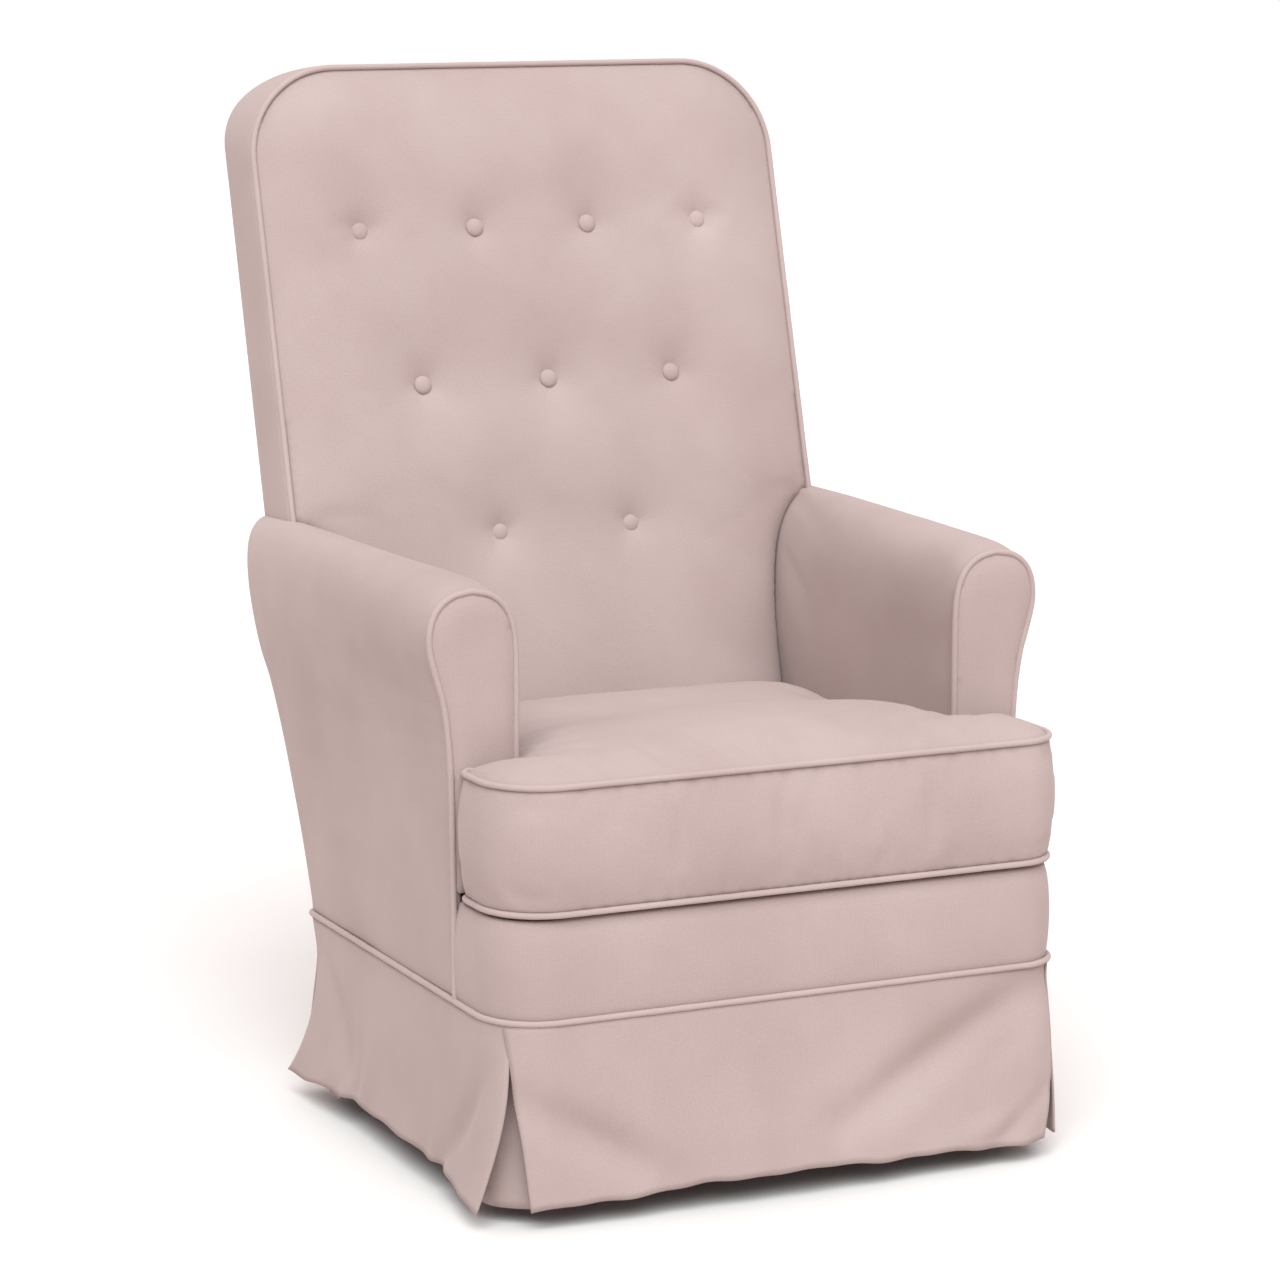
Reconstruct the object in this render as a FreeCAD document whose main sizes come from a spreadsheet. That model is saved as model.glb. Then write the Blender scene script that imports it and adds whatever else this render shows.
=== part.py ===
"""A skirted nursery glider: an upholstered armchair on a swivelling glider base.

The chair faces -Y. X runs across it, with the sitter's left hand on +X, and Z is up.
The origin is on the floor, in the middle of the chair's width and depth.
"""
import FreeCAD, Part

import math
import os

from FreeCAD import Placement, Rotation, Vector

doc = FreeCAD.newDocument("glider")

# ---------------------------------------------------------------------------
# Driving dimensions, in millimetres, with angles in degrees
# ---------------------------------------------------------------------------

DIMENSIONS = [
    # base ring and swivel bearing
    ("swivel_y", -99, "swivel axis, behind the chair's front"),
    ("ring_radius", 194, "middle of the floor ring's tube"),
    ("ring_tube", 11, "radius of the ring's tube"),
    ("pad_height", 6, "nylon floor pads under the ring"),
    ("pad_radius", 9, "floor pad"),
    ("bar_width", 36, "crossed bars inside the ring"),
    ("bar_low", 12, "underside of the crossed bars"),
    ("bar_top", 26, "top of the crossed bars"),
    ("hub_radius", 95, "hub disc on the crossed bars"),
    ("hub_thick", 5, "hub disc"),
    ("race_inner", 55, "bearing race, inside radius"),
    ("race_outer", 90, "bearing race, outside radius"),
    ("race_height", 7.5, "one bearing race"),
    ("race_gap", 1, "between the two races"),
    ("ball_path", 72, "circle that the balls run on"),
    ("ball_radius", 4, "bearing ball"),
    ("kingpin_radius", 12, "bolt on the swivel axis"),
    ("running_gap", 0.05, "radial clearance of a running fit"),
    ("float_gap", 0.3, "between the kingpin's nut and the turntable"),
    # turntable and cradle
    ("table_length", 270, "turntable plate, front to back"),
    ("table_width", 220, "turntable plate, side to side"),
    ("plate_thick", 5, "steel plate"),
    ("cradle_half", 228, "half the length of the cradle's cross tubes"),
    ("cross_width", 30, "cross tube, front to back"),
    ("cross_height", 20, "cross tube"),
    ("cross_wall", 2, "cross tube"),
    ("upright_thick", 6, "upright plate"),
    ("upright_width", 40, "upright plate"),
    # glider links
    ("pivot_half", 110, "half the distance from front links to rear links"),
    ("pivot_high", 165, "upper pivots"),
    ("pivot_low", 65, "lower pivots"),
    ("pivot_radius", 5, "pivot bolt shank"),
    ("eye_radius", 14, "round end of a link"),
    ("bush_wall", 2, "nylon bush in a link's eye"),
    ("link_thick", 5, "link plate"),
    ("link_gap", 1, "between a link and the plates beside it"),
    ("head_radius", 8, "bolt head"),
    ("head_height", 4, "bolt head"),
    ("glide_travel", 50, "how far the seat glides each way"),
    ("stop_radius", 8, "rubber sleeve of the stop peg"),
    ("stop_height", 100, "stop peg above the floor"),
    # wooden seat frame
    ("rail_bottom", 194, "underside of the seat rails"),
    ("rail_top", 290, "top of the seat rails"),
    ("rail_thick", 25, "seat rail"),
    ("rail_outer", 300, "outer face of the side rails"),
    ("rail_front", -335, "front end of the side rails"),
    ("rail_rear", 128, "rear end of the side rails"),
    ("block_side", 62, "corner block"),
    ("block_height", 70, "corner block"),
    # seat
    ("body_half", 314, "half width over the outside arms"),
    ("body_front", -377, "front of the upholstered front rail"),
    ("corner_radius", 60, "front corners seen from above"),
    ("cover_thick", 9, "padded cover on a panel"),
    ("welt_height", 210, "welt where the skirt starts"),
    ("seat_top", 312, "seat deck under the cushion"),
    ("cushion_top", 462, "crown of the seat cushion"),
    ("cushion_half", 244.5, "half width between the arms"),
    ("cushion_rear", 126, "rear edge of the seat cushion at the back"),
    ("ear_rear", -268, "rear of the cushion's ears, in front of the arms"),
    ("soft_gap", 3, "between soft parts that only lie together"),
    # arms
    ("arm_front", -259, "front of the arm behind its facing"),
    ("arm_inner", 252, "inner face of the arm"),
    ("arm_wall", 12, "padding inside the arm"),
    ("roll_x", 295, "centre of the arm's roll"),
    ("roll_z", 574, "centre of the arm's roll"),
    ("roll_radius", 43, "arm's roll"),
    ("arm_waist", 455, "where the roll meets the flat outside arm"),
    ("facing_thick", 7, "padded front facing"),
    # reclined back
    ("back_y", 151, "back's piping plane at the reference height"),
    ("back_z", 472, "the reference height"),
    ("recline", 15.65, "back's lean from upright"),
    ("back_rise", 665, "reference height to the top, along the back"),
    ("back_half", 310, "half width of the back"),
    ("back_corner", 95, "top corners of the back"),
    ("back_crown", 28, "how far the padding stands ahead of the piping plane"),
    ("back_depth", 63, "piping plane to the outside back"),
    ("panel_thick", 5, "outside back panel"),
    ("post_front", 18, "front of the back posts behind the piping plane"),
    ("post_thick", 25, "back post"),
    ("post_width", 30, "back post"),
    ("button_radius", 10, "covered button"),
    ("button_thick", 6, "covered button"),
    ("button_depth", 18, "how deep a button is pulled into the crown"),
    # trim
    ("piping_radius", 3.2, "welt cord in its cover"),
    ("skirt_top", 206, "top edge of the skirt under the welt"),
    ("hem_height", 22, "skirt's hem above the floor"),
    ("skirt_thick", 3, "lined skirt"),
    ("skirt_rear", 153, "rear skirt at its top edge"),
]

sheet = doc.addObject("Spreadsheet::Sheet", "dims")
for row, (alias, value, meaning) in enumerate(DIMENSIONS, start=1):
    sheet.set(f"A{row}", meaning)
    sheet.set(f"B{row}", str(value))
    sheet.setAlias(f"B{row}", alias)
doc.recompute()

SUBPARTS = {}
SIDES = (("left", 1), ("right", -1))
ENDS = (("front", -1), ("rear", 1))


def size(alias):
    """A driving dimension's value, for shapes that are built in code."""
    return float(sheet.get(alias))


# ---------------------------------------------------------------------------
# Helpers. A length is an expression on the sheet, such as "dims.rail_top"
# ---------------------------------------------------------------------------

def bind(feature, **expressions):
    """Bind properties: a double underscore stands for a dot in a path."""
    for path, expression in expressions.items():
        feature.setExpression(path.replace("__", "."), str(expression))
    return feature


def place(feature, at, rotation=None):
    """Turn a feature, then bind where it stands."""
    if rotation is not None:
        feature.Placement = Placement(Vector(), rotation)
    x, y, z = at
    return bind(feature, Placement__Base__x=x, Placement__Base__y=y, Placement__Base__z=z)


def box(name, x, y, z):
    """A box between two expressions along each axis."""
    feature = doc.addObject("Part::Box", name)
    bind(feature, Length=f"({x[1]}) - ({x[0]})", Width=f"({y[1]}) - ({y[0]})",
         Height=f"({z[1]}) - ({z[0]})")
    return place(feature, (x[0], y[0], z[0]))


ALONG_X = Rotation(Vector(0, 1, 0), 90)


def rod(name, radius, length, at, rotation=None):
    """A round bar from a point, along Z unless it is turned."""
    feature = doc.addObject("Part::Cylinder", name)
    bind(feature, Radius=radius, Height=length)
    return place(feature, at, rotation)


def cut(name, base, tool):
    feature = doc.addObject("Part::Cut", name)
    feature.Base = base
    feature.Tool = tool
    return feature


def fuse(name, pieces):
    feature = doc.addObject("Part::MultiFuse", name)
    feature.Shapes = pieces
    return feature


def group(name, pieces):
    """Identical pieces that share one node, each its own solid."""
    feature = doc.addObject("Part::Compound", name)
    feature.Links = pieces
    return feature


def subpart(name, feature):
    """Name a finished piece as a sub-part of the chair."""
    feature.Label = name
    SUBPARTS[name] = feature
    return feature


def mirrored(span, sign):
    """A span across X on the sitter's left, or its mirror image on the right."""
    low, high = span
    return (low, high) if sign > 0 else (f"-({high})", f"-({low})")


def origin_plane(body, role):
    return next(f for f in body.Origin.OriginFeatures if f.Role == role)


def padded_body(name, role, outline, length, at=("0", "0", "0"), reverse=False, rotation=None):
    """A PartDesign body: one outline on an origin plane, padded to a bound length."""
    body = doc.addObject("PartDesign::Body", name)
    sketch = body.newObject("Sketcher::SketchObject", name + "_outline")
    sketch.AttachmentSupport = [(origin_plane(body, role), "")]
    sketch.MapMode = "FlatFace"
    for edge in outline:
        sketch.addGeometry(edge, False)
    pad = body.newObject("PartDesign::Pad", name + "_pad")
    pad.Profile = sketch
    pad.Reversed = reverse
    bind(pad, Length=length)
    return place(body, at, rotation)


def outline_edges(points):
    """Lines between (x, y) points. An arc is a ("via", x, y) entry between its ends."""
    edges = []
    count = len(points)
    index = 0
    while index < count:
        start = Vector(*points[index], 0)
        following = points[(index + 1) % count]
        if following[0] == "via":
            middle = Vector(following[1], following[2], 0)
            finish = Vector(*points[(index + 2) % count], 0)
            edges.append(Part.Arc(start, middle, finish))
            index += 2
        else:
            edges.append(Part.LineSegment(start, Vector(*following, 0)))
            index += 1
    return edges


def corner_via(cx, cy, radius, degrees):
    """The middle point of a rounded corner about its centre."""
    angle = math.radians(degrees)
    return ("via", cx + radius * math.cos(angle), cy + radius * math.sin(angle))


# ---------------------------------------------------------------------------
# Base: floor ring, crossed bars, kingpin and lower half of the bearing
# ---------------------------------------------------------------------------

ring = doc.addObject("Part::Torus", "ring")
bind(ring, Radius1="dims.ring_radius", Radius2="dims.ring_tube")
place(ring, ("0", "dims.swivel_y", "dims.pad_height + dims.ring_tube"))
subpart("base_ring", ring)

ring_space = doc.addObject("Part::Torus", "ring_space")
bind(ring_space, Radius1="dims.ring_radius", Radius2="dims.ring_tube")
place(ring_space, ("0", "dims.swivel_y", "dims.pad_height + dims.ring_tube"))

bar_z = ("dims.bar_low", "dims.bar_top")
bar_across = box("bar_across", ("-dims.ring_radius", "dims.ring_radius"),
                 ("dims.swivel_y - dims.bar_width / 2", "dims.swivel_y + dims.bar_width / 2"), bar_z)
bar_along = box("bar_along", ("-dims.bar_width / 2", "dims.bar_width / 2"),
                ("dims.swivel_y - dims.ring_radius", "dims.swivel_y + dims.ring_radius"), bar_z)
hub = rod("hub_disc", "dims.hub_radius", "dims.hub_thick", ("0", "dims.swivel_y", "dims.bar_top"))
bars = cut("bars_trimmed", fuse("bars_and_hub", [bar_across, bar_along, hub]), ring_space)
kingpin_space = rod("kingpin_space", "dims.kingpin_radius", "60", ("0", "dims.swivel_y", "0"))
subpart("base_cross", cut("bars_bored", bars, kingpin_space))

PAD_COUNT = 6
pads = []
for number in range(PAD_COUNT):
    turn = f"{(number + 0.5) * 360 / PAD_COUNT} deg"
    pads.append(rod(f"pad_{number}", "dims.pad_radius", "dims.pad_height - 0.2",
                    (f"dims.ring_radius * cos({turn})",
                     f"dims.swivel_y + dims.ring_radius * sin({turn})", "0")))
    pads.append(rod(f"pad_stem_{number}", "3", "dims.ring_tube",
                    (f"dims.ring_radius * cos({turn})",
                     f"dims.swivel_y + dims.ring_radius * sin({turn})", "dims.pad_height - 0.2")))
pad_pieces = [fuse(f"pad_whole_{n}", pads[2 * n:2 * n + 2]) for n in range(PAD_COUNT)]
pad_group = group("pad_group", pad_pieces)
subpart("base_pads", cut("pads_seated", pad_group, ring))

hub_top = "(dims.bar_top + dims.hub_thick)"
ball_height = "(dims.bar_top + dims.hub_thick + dims.race_height + dims.race_gap / 2)"


def race(name, low):
    """One flat ring of the bearing, with a round groove for the balls."""
    outer = rod(name + "_disc", "dims.race_outer", "dims.race_height", ("0", "dims.swivel_y", low))
    bore = rod(name + "_bore", "dims.race_inner", "dims.race_height", ("0", "dims.swivel_y", low))
    groove = doc.addObject("Part::Torus", name + "_groove")
    bind(groove, Radius1="dims.ball_path", Radius2="dims.ball_radius + dims.running_gap")
    place(groove, ("0", "dims.swivel_y", ball_height))
    return cut(name + "_grooved", cut(name + "_flat", outer, bore), groove)


upper_race_low = f"({ball_height} + dims.race_gap / 2)"
table_low = f"({upper_race_low} + dims.race_height)"
table_top = f"({table_low} + dims.plate_thick)"
subpart("bearing_lower_race", race("lower_race", hub_top))

BALL_COUNT = 24
balls = []
for number in range(BALL_COUNT):
    ball = doc.addObject("Part::Sphere", f"ball_{number}")
    bind(ball, Radius="dims.ball_radius")
    turn = f"{number * 360 / BALL_COUNT} deg"
    balls.append(place(ball, (f"dims.ball_path * cos({turn})",
                              f"dims.swivel_y + dims.ball_path * sin({turn})", ball_height)))
subpart("bearing_balls", group("balls", balls))

nut_low = f"({table_top} + dims.float_gap)"
pin_shank = rod("kingpin_shank", "dims.kingpin_radius", f"{nut_low} + 14 - dims.bar_low",
                ("0", "dims.swivel_y", "dims.bar_low"))
pin_head = rod("kingpin_head", "dims.kingpin_radius + 7", "4",
               ("0", "dims.swivel_y", "dims.bar_low - 4"))
subpart("kingpin", fuse("kingpin_bolt", [pin_shank, pin_head]))

nut_body = doc.addObject("Part::Prism", "kingpin_nut_body")
nut_body.Polygon = 6
bind(nut_body, Circumradius="dims.kingpin_radius + 10", Height="12")
place(nut_body, ("0", "dims.swivel_y", nut_low))
nut_bore = rod("kingpin_nut_bore", "dims.kingpin_radius", "12", ("0", "dims.swivel_y", nut_low))
subpart("kingpin_nut", cut("kingpin_nut_bored", nut_body, nut_bore))

# ---------------------------------------------------------------------------
# Swivelling cradle: upper race, turntable, cross tubes, uprights and stops
# ---------------------------------------------------------------------------

subpart("bearing_upper_race", race("upper_race", upper_race_low))

table_plate = box("table_plate", ("-dims.table_width / 2", "dims.table_width / 2"),
                  ("dims.swivel_y - dims.table_length / 2", "dims.swivel_y + dims.table_length / 2"),
                  (table_low, table_top))
table_bore = rod("table_bore", "dims.kingpin_radius + dims.running_gap", "dims.plate_thick",
                 ("0", "dims.swivel_y", table_low))
subpart("turntable_plate", cut("table_bored", table_plate, table_bore))

cross_top = f"({table_top} + dims.cross_height)"
for end, way in ENDS:
    middle = f"(dims.swivel_y + {way} * dims.pivot_half)"
    half = "dims.cross_width / 2"
    solid = box(f"cross_{end}_solid", ("-dims.cradle_half", "dims.cradle_half"),
                (f"{middle} - {half}", f"{middle} + {half}"), (table_top, cross_top))
    hollow = box(f"cross_{end}_hollow", ("-dims.cradle_half", "dims.cradle_half"),
                 (f"{middle} - {half} + dims.cross_wall", f"{middle} + {half} - dims.cross_wall"),
                 (f"{table_top} + dims.cross_wall", f"{cross_top} - dims.cross_wall"))
    subpart(f"cradle_cross_{end}", cut(f"cross_{end}_tube", solid, hollow))

upright_outer = "(dims.cradle_half + dims.upright_thick)"
link_inner = f"({upright_outer} + dims.link_gap)"
link_outer = f"({link_inner} + dims.link_thick)"
bracket_inner = f"({link_outer} + dims.link_gap)"
bracket_outer = f"({bracket_inner} + dims.plate_thick)"
upright_top = "(dims.pivot_high + 15)"


def across(name, radius, span, at_y, at_z, sign):
    """A round bar across the chair, from one X to another on one side."""
    low, high = mirrored(span, sign)
    return rod(name, radius, f"({high}) - ({low})", (low, at_y, at_z), ALONG_X)


uprights = []
upper_bolts = []
stops = []
stop_face = "(dims.glide_travel + dims.stop_radius + 0.5)"
for side, sign in SIDES:
    for end, way in ENDS:
        tag = f"{end}_{side}"
        pivot_y = f"(dims.swivel_y + {way} * dims.pivot_half)"
        half = "dims.upright_width / 2"
        plate = box(f"upright_{tag}", mirrored(("dims.cradle_half", upright_outer), sign),
                    (f"{pivot_y} - {half}", f"{pivot_y} + {half}"), (table_top, upright_top))
        bore = across(f"upright_bore_{tag}", "dims.pivot_radius", ("dims.cradle_half", upright_outer),
                      pivot_y, "dims.pivot_high", sign)
        uprights.append(cut(f"upright_bored_{tag}", plate, bore))
        shank = across(f"bolt_shank_{tag}", "dims.pivot_radius",
                       ("dims.cradle_half - 6", f"{link_outer} + 0.6"), pivot_y, "dims.pivot_high", sign)
        head = across(f"bolt_head_{tag}", "dims.head_radius",
                      (f"{link_outer} + 0.6", f"{link_outer} + 0.6 + dims.head_height"),
                      pivot_y, "dims.pivot_high", sign)
        nut = across(f"bolt_nut_{tag}", "dims.head_radius", ("dims.cradle_half - 6", "dims.cradle_half"),
                     pivot_y, "dims.pivot_high", sign)
        upper_bolts.append(fuse(f"upper_bolt_{tag}", [shank, head, nut]))
        edge = f"({way} * (dims.pivot_half - dims.upright_width / 2))"
        face = f"({way} * {stop_face})"
        near, far = (edge, face) if way < 0 else (face, edge)
        stops.append(box(f"stop_{tag}", mirrored(("dims.cradle_half", upright_outer), sign),
                         (f"dims.swivel_y + {near}", f"dims.swivel_y + {far}"),
                         ("dims.stop_height", "dims.stop_height + 28")))
subpart("cradle_uprights", group("uprights", uprights))
subpart("upper_pivot_bolts", group("upper_bolts", upper_bolts))
subpart("glide_stops", group("stops", stops))

# ---------------------------------------------------------------------------
# Links: four hangers with nylon bushes in their eyes
# ---------------------------------------------------------------------------

bush_radius = size("pivot_radius") + size("bush_wall")


def link_outline():
    """A slot-shaped plate between two eyes, drawn down from the upper pivot."""
    reach = size("pivot_high") - size("pivot_low")
    eye = size("eye_radius")
    plate = outline_edges([(-eye, 0), ("via", 0, eye), (eye, 0), (eye, -reach),
                           ("via", 0, -reach - eye), (-eye, -reach)])
    holes = [Part.Circle(Vector(0, -drop, 0), Vector(0, 0, 1), bush_radius) for drop in (0, reach)]
    return plate + holes


for end, way in ENDS:
    pivot_y = f"(dims.swivel_y + {way} * dims.pivot_half)"
    bushes = []
    for side, sign in SIDES:
        low, high = mirrored((link_inner, link_outer), sign)
        link = padded_body(f"{end}_link_{side}_body", "YZ_Plane", link_outline(), "dims.link_thick",
                           (low, pivot_y, "dims.pivot_high"))
        subpart(f"{end}_link_{side}", link)
        for height in ("dims.pivot_high", "dims.pivot_low"):
            tag = f"{end}_{side}_{'upper' if 'high' in height else 'lower'}"
            span = (f"{link_inner} - 0.4", f"{link_outer} + 0.4")
            sleeve = across(f"bush_{tag}", "dims.pivot_radius + dims.bush_wall", span,
                            pivot_y, height, sign)
            bore = across(f"bush_bore_{tag}", "dims.pivot_radius + dims.running_gap", span,
                          pivot_y, height, sign)
            bushes.append(cut(f"bush_bored_{tag}", sleeve, bore))
    subpart(f"{end}_link_bushes", group(f"{end}_bushes", bushes))

# ---------------------------------------------------------------------------
# Glide brackets under the seat frame, with the lower pivots and stop pegs
# ---------------------------------------------------------------------------

BRACKET_BOLTS = (-100, 0, 100)
flange_top = "(dims.rail_bottom - 1)"
flange_low = f"({flange_top} - dims.plate_thick)"
lower_bolts = []
pegs = []
lag_bolts = []
cover_bores = []
for side, sign in SIDES:
    bracket_x = mirrored((bracket_inner, bracket_outer), sign)
    reach = "(dims.pivot_half + dims.eye_radius + 4)"
    foot = box(f"bracket_foot_{side}", bracket_x,
               (f"dims.swivel_y - {reach}", f"dims.swivel_y + {reach}"),
               ("dims.pivot_low - 15", "dims.pivot_low + 15"))
    web = box(f"bracket_web_{side}", bracket_x, ("dims.swivel_y - 45", "dims.swivel_y + 45"),
              ("dims.pivot_low", flange_low))
    flange = box(f"bracket_flange_{side}", mirrored((bracket_inner, "dims.rail_outer - 6"), sign),
                 ("dims.swivel_y - 125", "dims.swivel_y + 125"), (flange_low, flange_top))
    bores = []
    for end, way in ENDS:
        pivot_y = f"(dims.swivel_y + {way} * dims.pivot_half)"
        bores.append(across(f"bracket_bore_{end}_{side}", "dims.pivot_radius",
                            (bracket_inner, bracket_outer), pivot_y, "dims.pivot_low", sign))
        shank = across(f"low_shank_{end}_{side}", "dims.pivot_radius",
                       (f"{link_inner} - 0.4", bracket_outer), pivot_y, "dims.pivot_low", sign)
        head = across(f"low_head_{end}_{side}", "dims.head_radius",
                      (bracket_outer, f"{bracket_outer} + dims.head_height"),
                      pivot_y, "dims.pivot_low", sign)
        lower_bolts.append(fuse(f"lower_bolt_{end}_{side}", [shank, head]))
    rail_middle = f"{sign} * (dims.rail_outer - dims.rail_thick / 2)"
    for number, offset in enumerate(BRACKET_BOLTS):
        at_y = f"dims.swivel_y + {offset}"
        bores.append(rod(f"lag_bore_{side}_{number}", "4", "dims.plate_thick",
                         (rail_middle, at_y, flange_low)))
        cover_bores.append(rod(f"cover_bore_{side}_{number}", "4", "1",
                               (rail_middle, at_y, flange_top)))
        shank = rod(f"lag_shank_{side}_{number}", "4", "45", (rail_middle, at_y, flange_low))
        head = rod(f"lag_head_{side}_{number}", "dims.head_radius", "dims.head_height",
                   (rail_middle, at_y, f"{flange_low} - dims.head_height"))
        lag_bolts.append(fuse(f"lag_{side}_{number}", [shank, head]))
    whole = fuse(f"bracket_whole_{side}", [foot, web, flange])
    subpart(f"glide_bracket_{side}", cut(f"bracket_bored_{side}", whole, group(f"bores_{side}", bores)))
    pegs.append(across(f"peg_{side}", "dims.stop_radius", ("dims.cradle_half - 2", bracket_inner),
                       "dims.swivel_y", "dims.stop_height", sign))
subpart("lower_pivot_bolts", group("lower_bolts", lower_bolts))
subpart("stop_pegs", group("pegs", pegs))
subpart("bracket_bolts", group("lag_bolts", lag_bolts))

# ---------------------------------------------------------------------------
# Wooden seat frame with sinuous springs
# ---------------------------------------------------------------------------

rail_inner = "(dims.rail_outer - dims.rail_thick)"
rail_z = ("dims.rail_bottom", "dims.rail_top")
for side, sign in SIDES:
    rail = box(f"side_rail_{side}_wood", mirrored((rail_inner, "dims.rail_outer"), sign),
               ("dims.rail_front", "dims.rail_rear"), rail_z)
    holes = []
    for number, offset in enumerate(BRACKET_BOLTS):
        holes.append(rod(f"rail_bore_{side}_{number}", "4", "39",
                         (f"{sign} * (dims.rail_outer - dims.rail_thick / 2)",
                          f"dims.swivel_y + {offset}", "dims.rail_bottom")))
    subpart(f"side_rail_{side}", cut(f"rail_bored_{side}", rail, group(f"rail_bores_{side}", holes)))
subpart("front_rail", box("front_rail_wood", (f"-{rail_inner} - 5", f"{rail_inner} + 5"),
                          ("dims.rail_front - dims.rail_thick", "dims.rail_front"), rail_z))
subpart("rear_rail", box("rear_rail_wood", (f"-{rail_inner}", rail_inner),
                         ("dims.rail_rear - dims.rail_thick", "dims.rail_rear"), rail_z))

blocks = []
inner_rear = "(dims.rail_rear - dims.rail_thick)"
for number, (x, y) in enumerate(((f"-{rail_inner}", "dims.rail_front"), (rail_inner, "dims.rail_front"),
                                 (rail_inner, inner_rear), (f"-{rail_inner}", inner_rear))):
    block = doc.addObject("Part::Wedge", f"block_{number}")
    for corner in ("Xmin", "Ymin", "Zmin", "X2min", "Z2min"):
        setattr(block, corner, 0)
    block.X2max = 0
    bind(block, Xmax="dims.block_side", Ymax="dims.block_side", Zmax="dims.block_height",
         Z2max="dims.block_height")
    place(block, (x, y, "dims.rail_bottom + 10"), Rotation(Vector(0, 0, 1), 90 * number))
    blocks.append(block)
subpart("corner_blocks", group("blocks", blocks))

SPRING_COUNT = 5
SPRING_PITCH = 100
spring_low = "(dims.rail_top + 1)"
springs = []
clips = []
for number in range(SPRING_COUNT):
    x = (number - (SPRING_COUNT - 1) / 2) * SPRING_PITCH
    springs.append(box(f"spring_{number}", (f"{x} - 22", f"{x} + 22"),
                       ("dims.rail_front - 8", f"{inner_rear} + 8"), (spring_low, f"{spring_low} + 3.5")))
    for end, y in (("front", "dims.rail_front - 20"), ("rear", f"{inner_rear} + 9")):
        clips.append(box(f"clip_{end}_{number}", (f"{x} - 10", f"{x} + 10"), (y, f"{y} + 11"),
                         ("dims.rail_top", f"{spring_low} + 4")))
subpart("seat_springs", group("springs", springs))
subpart("spring_clips", group("clips", clips))

deck_low = f"({spring_low} + 4.5)"
deck_main = box("deck_main", ("-dims.arm_inner + 1", "dims.arm_inner - 1"),
                ("dims.rail_front - dims.rail_thick", "dims.rail_rear - 22"), (deck_low, "dims.seat_top"))
deck_ears = box("deck_ears", ("-dims.rail_outer + 8", "dims.rail_outer - 8"),
                ("dims.rail_front", "dims.arm_front - dims.facing_thick - 2"), (deck_low, "dims.seat_top"))
subpart("seat_deck", fuse("deck", [deck_main, deck_ears]))

dust = box("dust_sheet", ("-dims.rail_outer", "dims.rail_outer"), ("dims.rail_front", "dims.rail_rear"),
           (flange_top, "dims.rail_bottom"))
subpart("dust_cover", cut("dust_bored", dust, group("cover_bores", cover_bores)))


def front_band_outline():
    """The padded cover round the front, seen from above: a U with round corners."""
    half = size("body_half")
    front = size("body_front")
    rear = size("arm_front") - 3
    outer = size("corner_radius")
    inner = outer - size("cover_thick")
    cx = half - outer
    cy = front + outer
    wall = size("cover_thick")
    return outline_edges([
        (-half, rear), (-half, cy), corner_via(-cx, cy, outer, 225), (-cx, front),
        (cx, front), corner_via(cx, cy, outer, 315), (half, cy), (half, rear),
        (half - wall, rear), (half - wall, cy), corner_via(cx, cy, inner, 315), (cx, front + wall),
        (-cx, front + wall), corner_via(-cx, cy, inner, 225), (wall - half, cy), (wall - half, rear)])


subpart("front_border", padded_body("front_band", "XY_Plane", front_band_outline(),
                                    "dims.seat_top - dims.skirt_top - 1",
                                    ("0", "0", "dims.skirt_top + 1")))

# ---------------------------------------------------------------------------
# Loose seat cushion: a T with ears in front of the arms
# ---------------------------------------------------------------------------


def cushion_outline():
    half = size("cushion_half")
    wide = size("body_half")
    front = size("body_front")
    ear = size("ear_rear")
    rear = size("cushion_rear")
    corner = size("corner_radius")
    return outline_edges([
        (-wide, ear), (-wide, front + corner), corner_via(corner - wide, front + corner, corner, 225),
        (corner - wide, front), (wide - corner, front),
        corner_via(wide - corner, front + corner, corner, 315), (wide, front + corner), (wide, ear),
        (half, ear), (half, rear), (-half, rear), (-half, ear)])


cushion_rise = "dims.cushion_top - dims.seat_top - dims.soft_gap"
cushion_block = padded_body("cushion_block", "XY_Plane", cushion_outline(), cushion_rise,
                            ("0", "0", "dims.seat_top + dims.soft_gap"))

# ---------------------------------------------------------------------------
# The reclined back. Its own frame has X across, Z up the slope and Y to the rear,
# with the piping in the plane Y = 0
# ---------------------------------------------------------------------------

recline = size("recline")
slope = math.tan(math.radians(recline))
lean = Rotation(Vector(1, 0, 0), -recline)
RISE = "cos(dims.recline * 1 deg)"
RUN = "sin(dims.recline * 1 deg)"


def on_back(across_x, behind, up):
    """Expressions for the place of a point given in the back's own frame."""
    return (across_x, f"dims.back_y + ({behind}) * {RISE} + ({up}) * {RUN}",
            f"dims.back_z - ({behind}) * {RUN} + ({up}) * {RISE}")


def back_box(name, x, behind, up):
    """A box in the back's own frame."""
    feature = doc.addObject("Part::Box", name)
    bind(feature, Length=f"({x[1]}) - ({x[0]})", Width=f"({behind[1]}) - ({behind[0]})",
         Height=f"({up[1]}) - ({up[0]})")
    return place(feature, on_back(x[0], behind[0], up[0]), lean)


def up_at(height, behind):
    """How far up the slope a plane behind the piping is at a height above the floor."""
    angle = math.radians(recline)
    return (height - size("back_z") + behind * math.sin(angle)) / math.cos(angle)


def back_body(name, outline, behind, thickness):
    """A PartDesign body drawn on the back's own plane and padded to the rear."""
    return padded_body(name, "XZ_Plane", outline, thickness, on_back("0", behind, "0"), True, lean)


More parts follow.
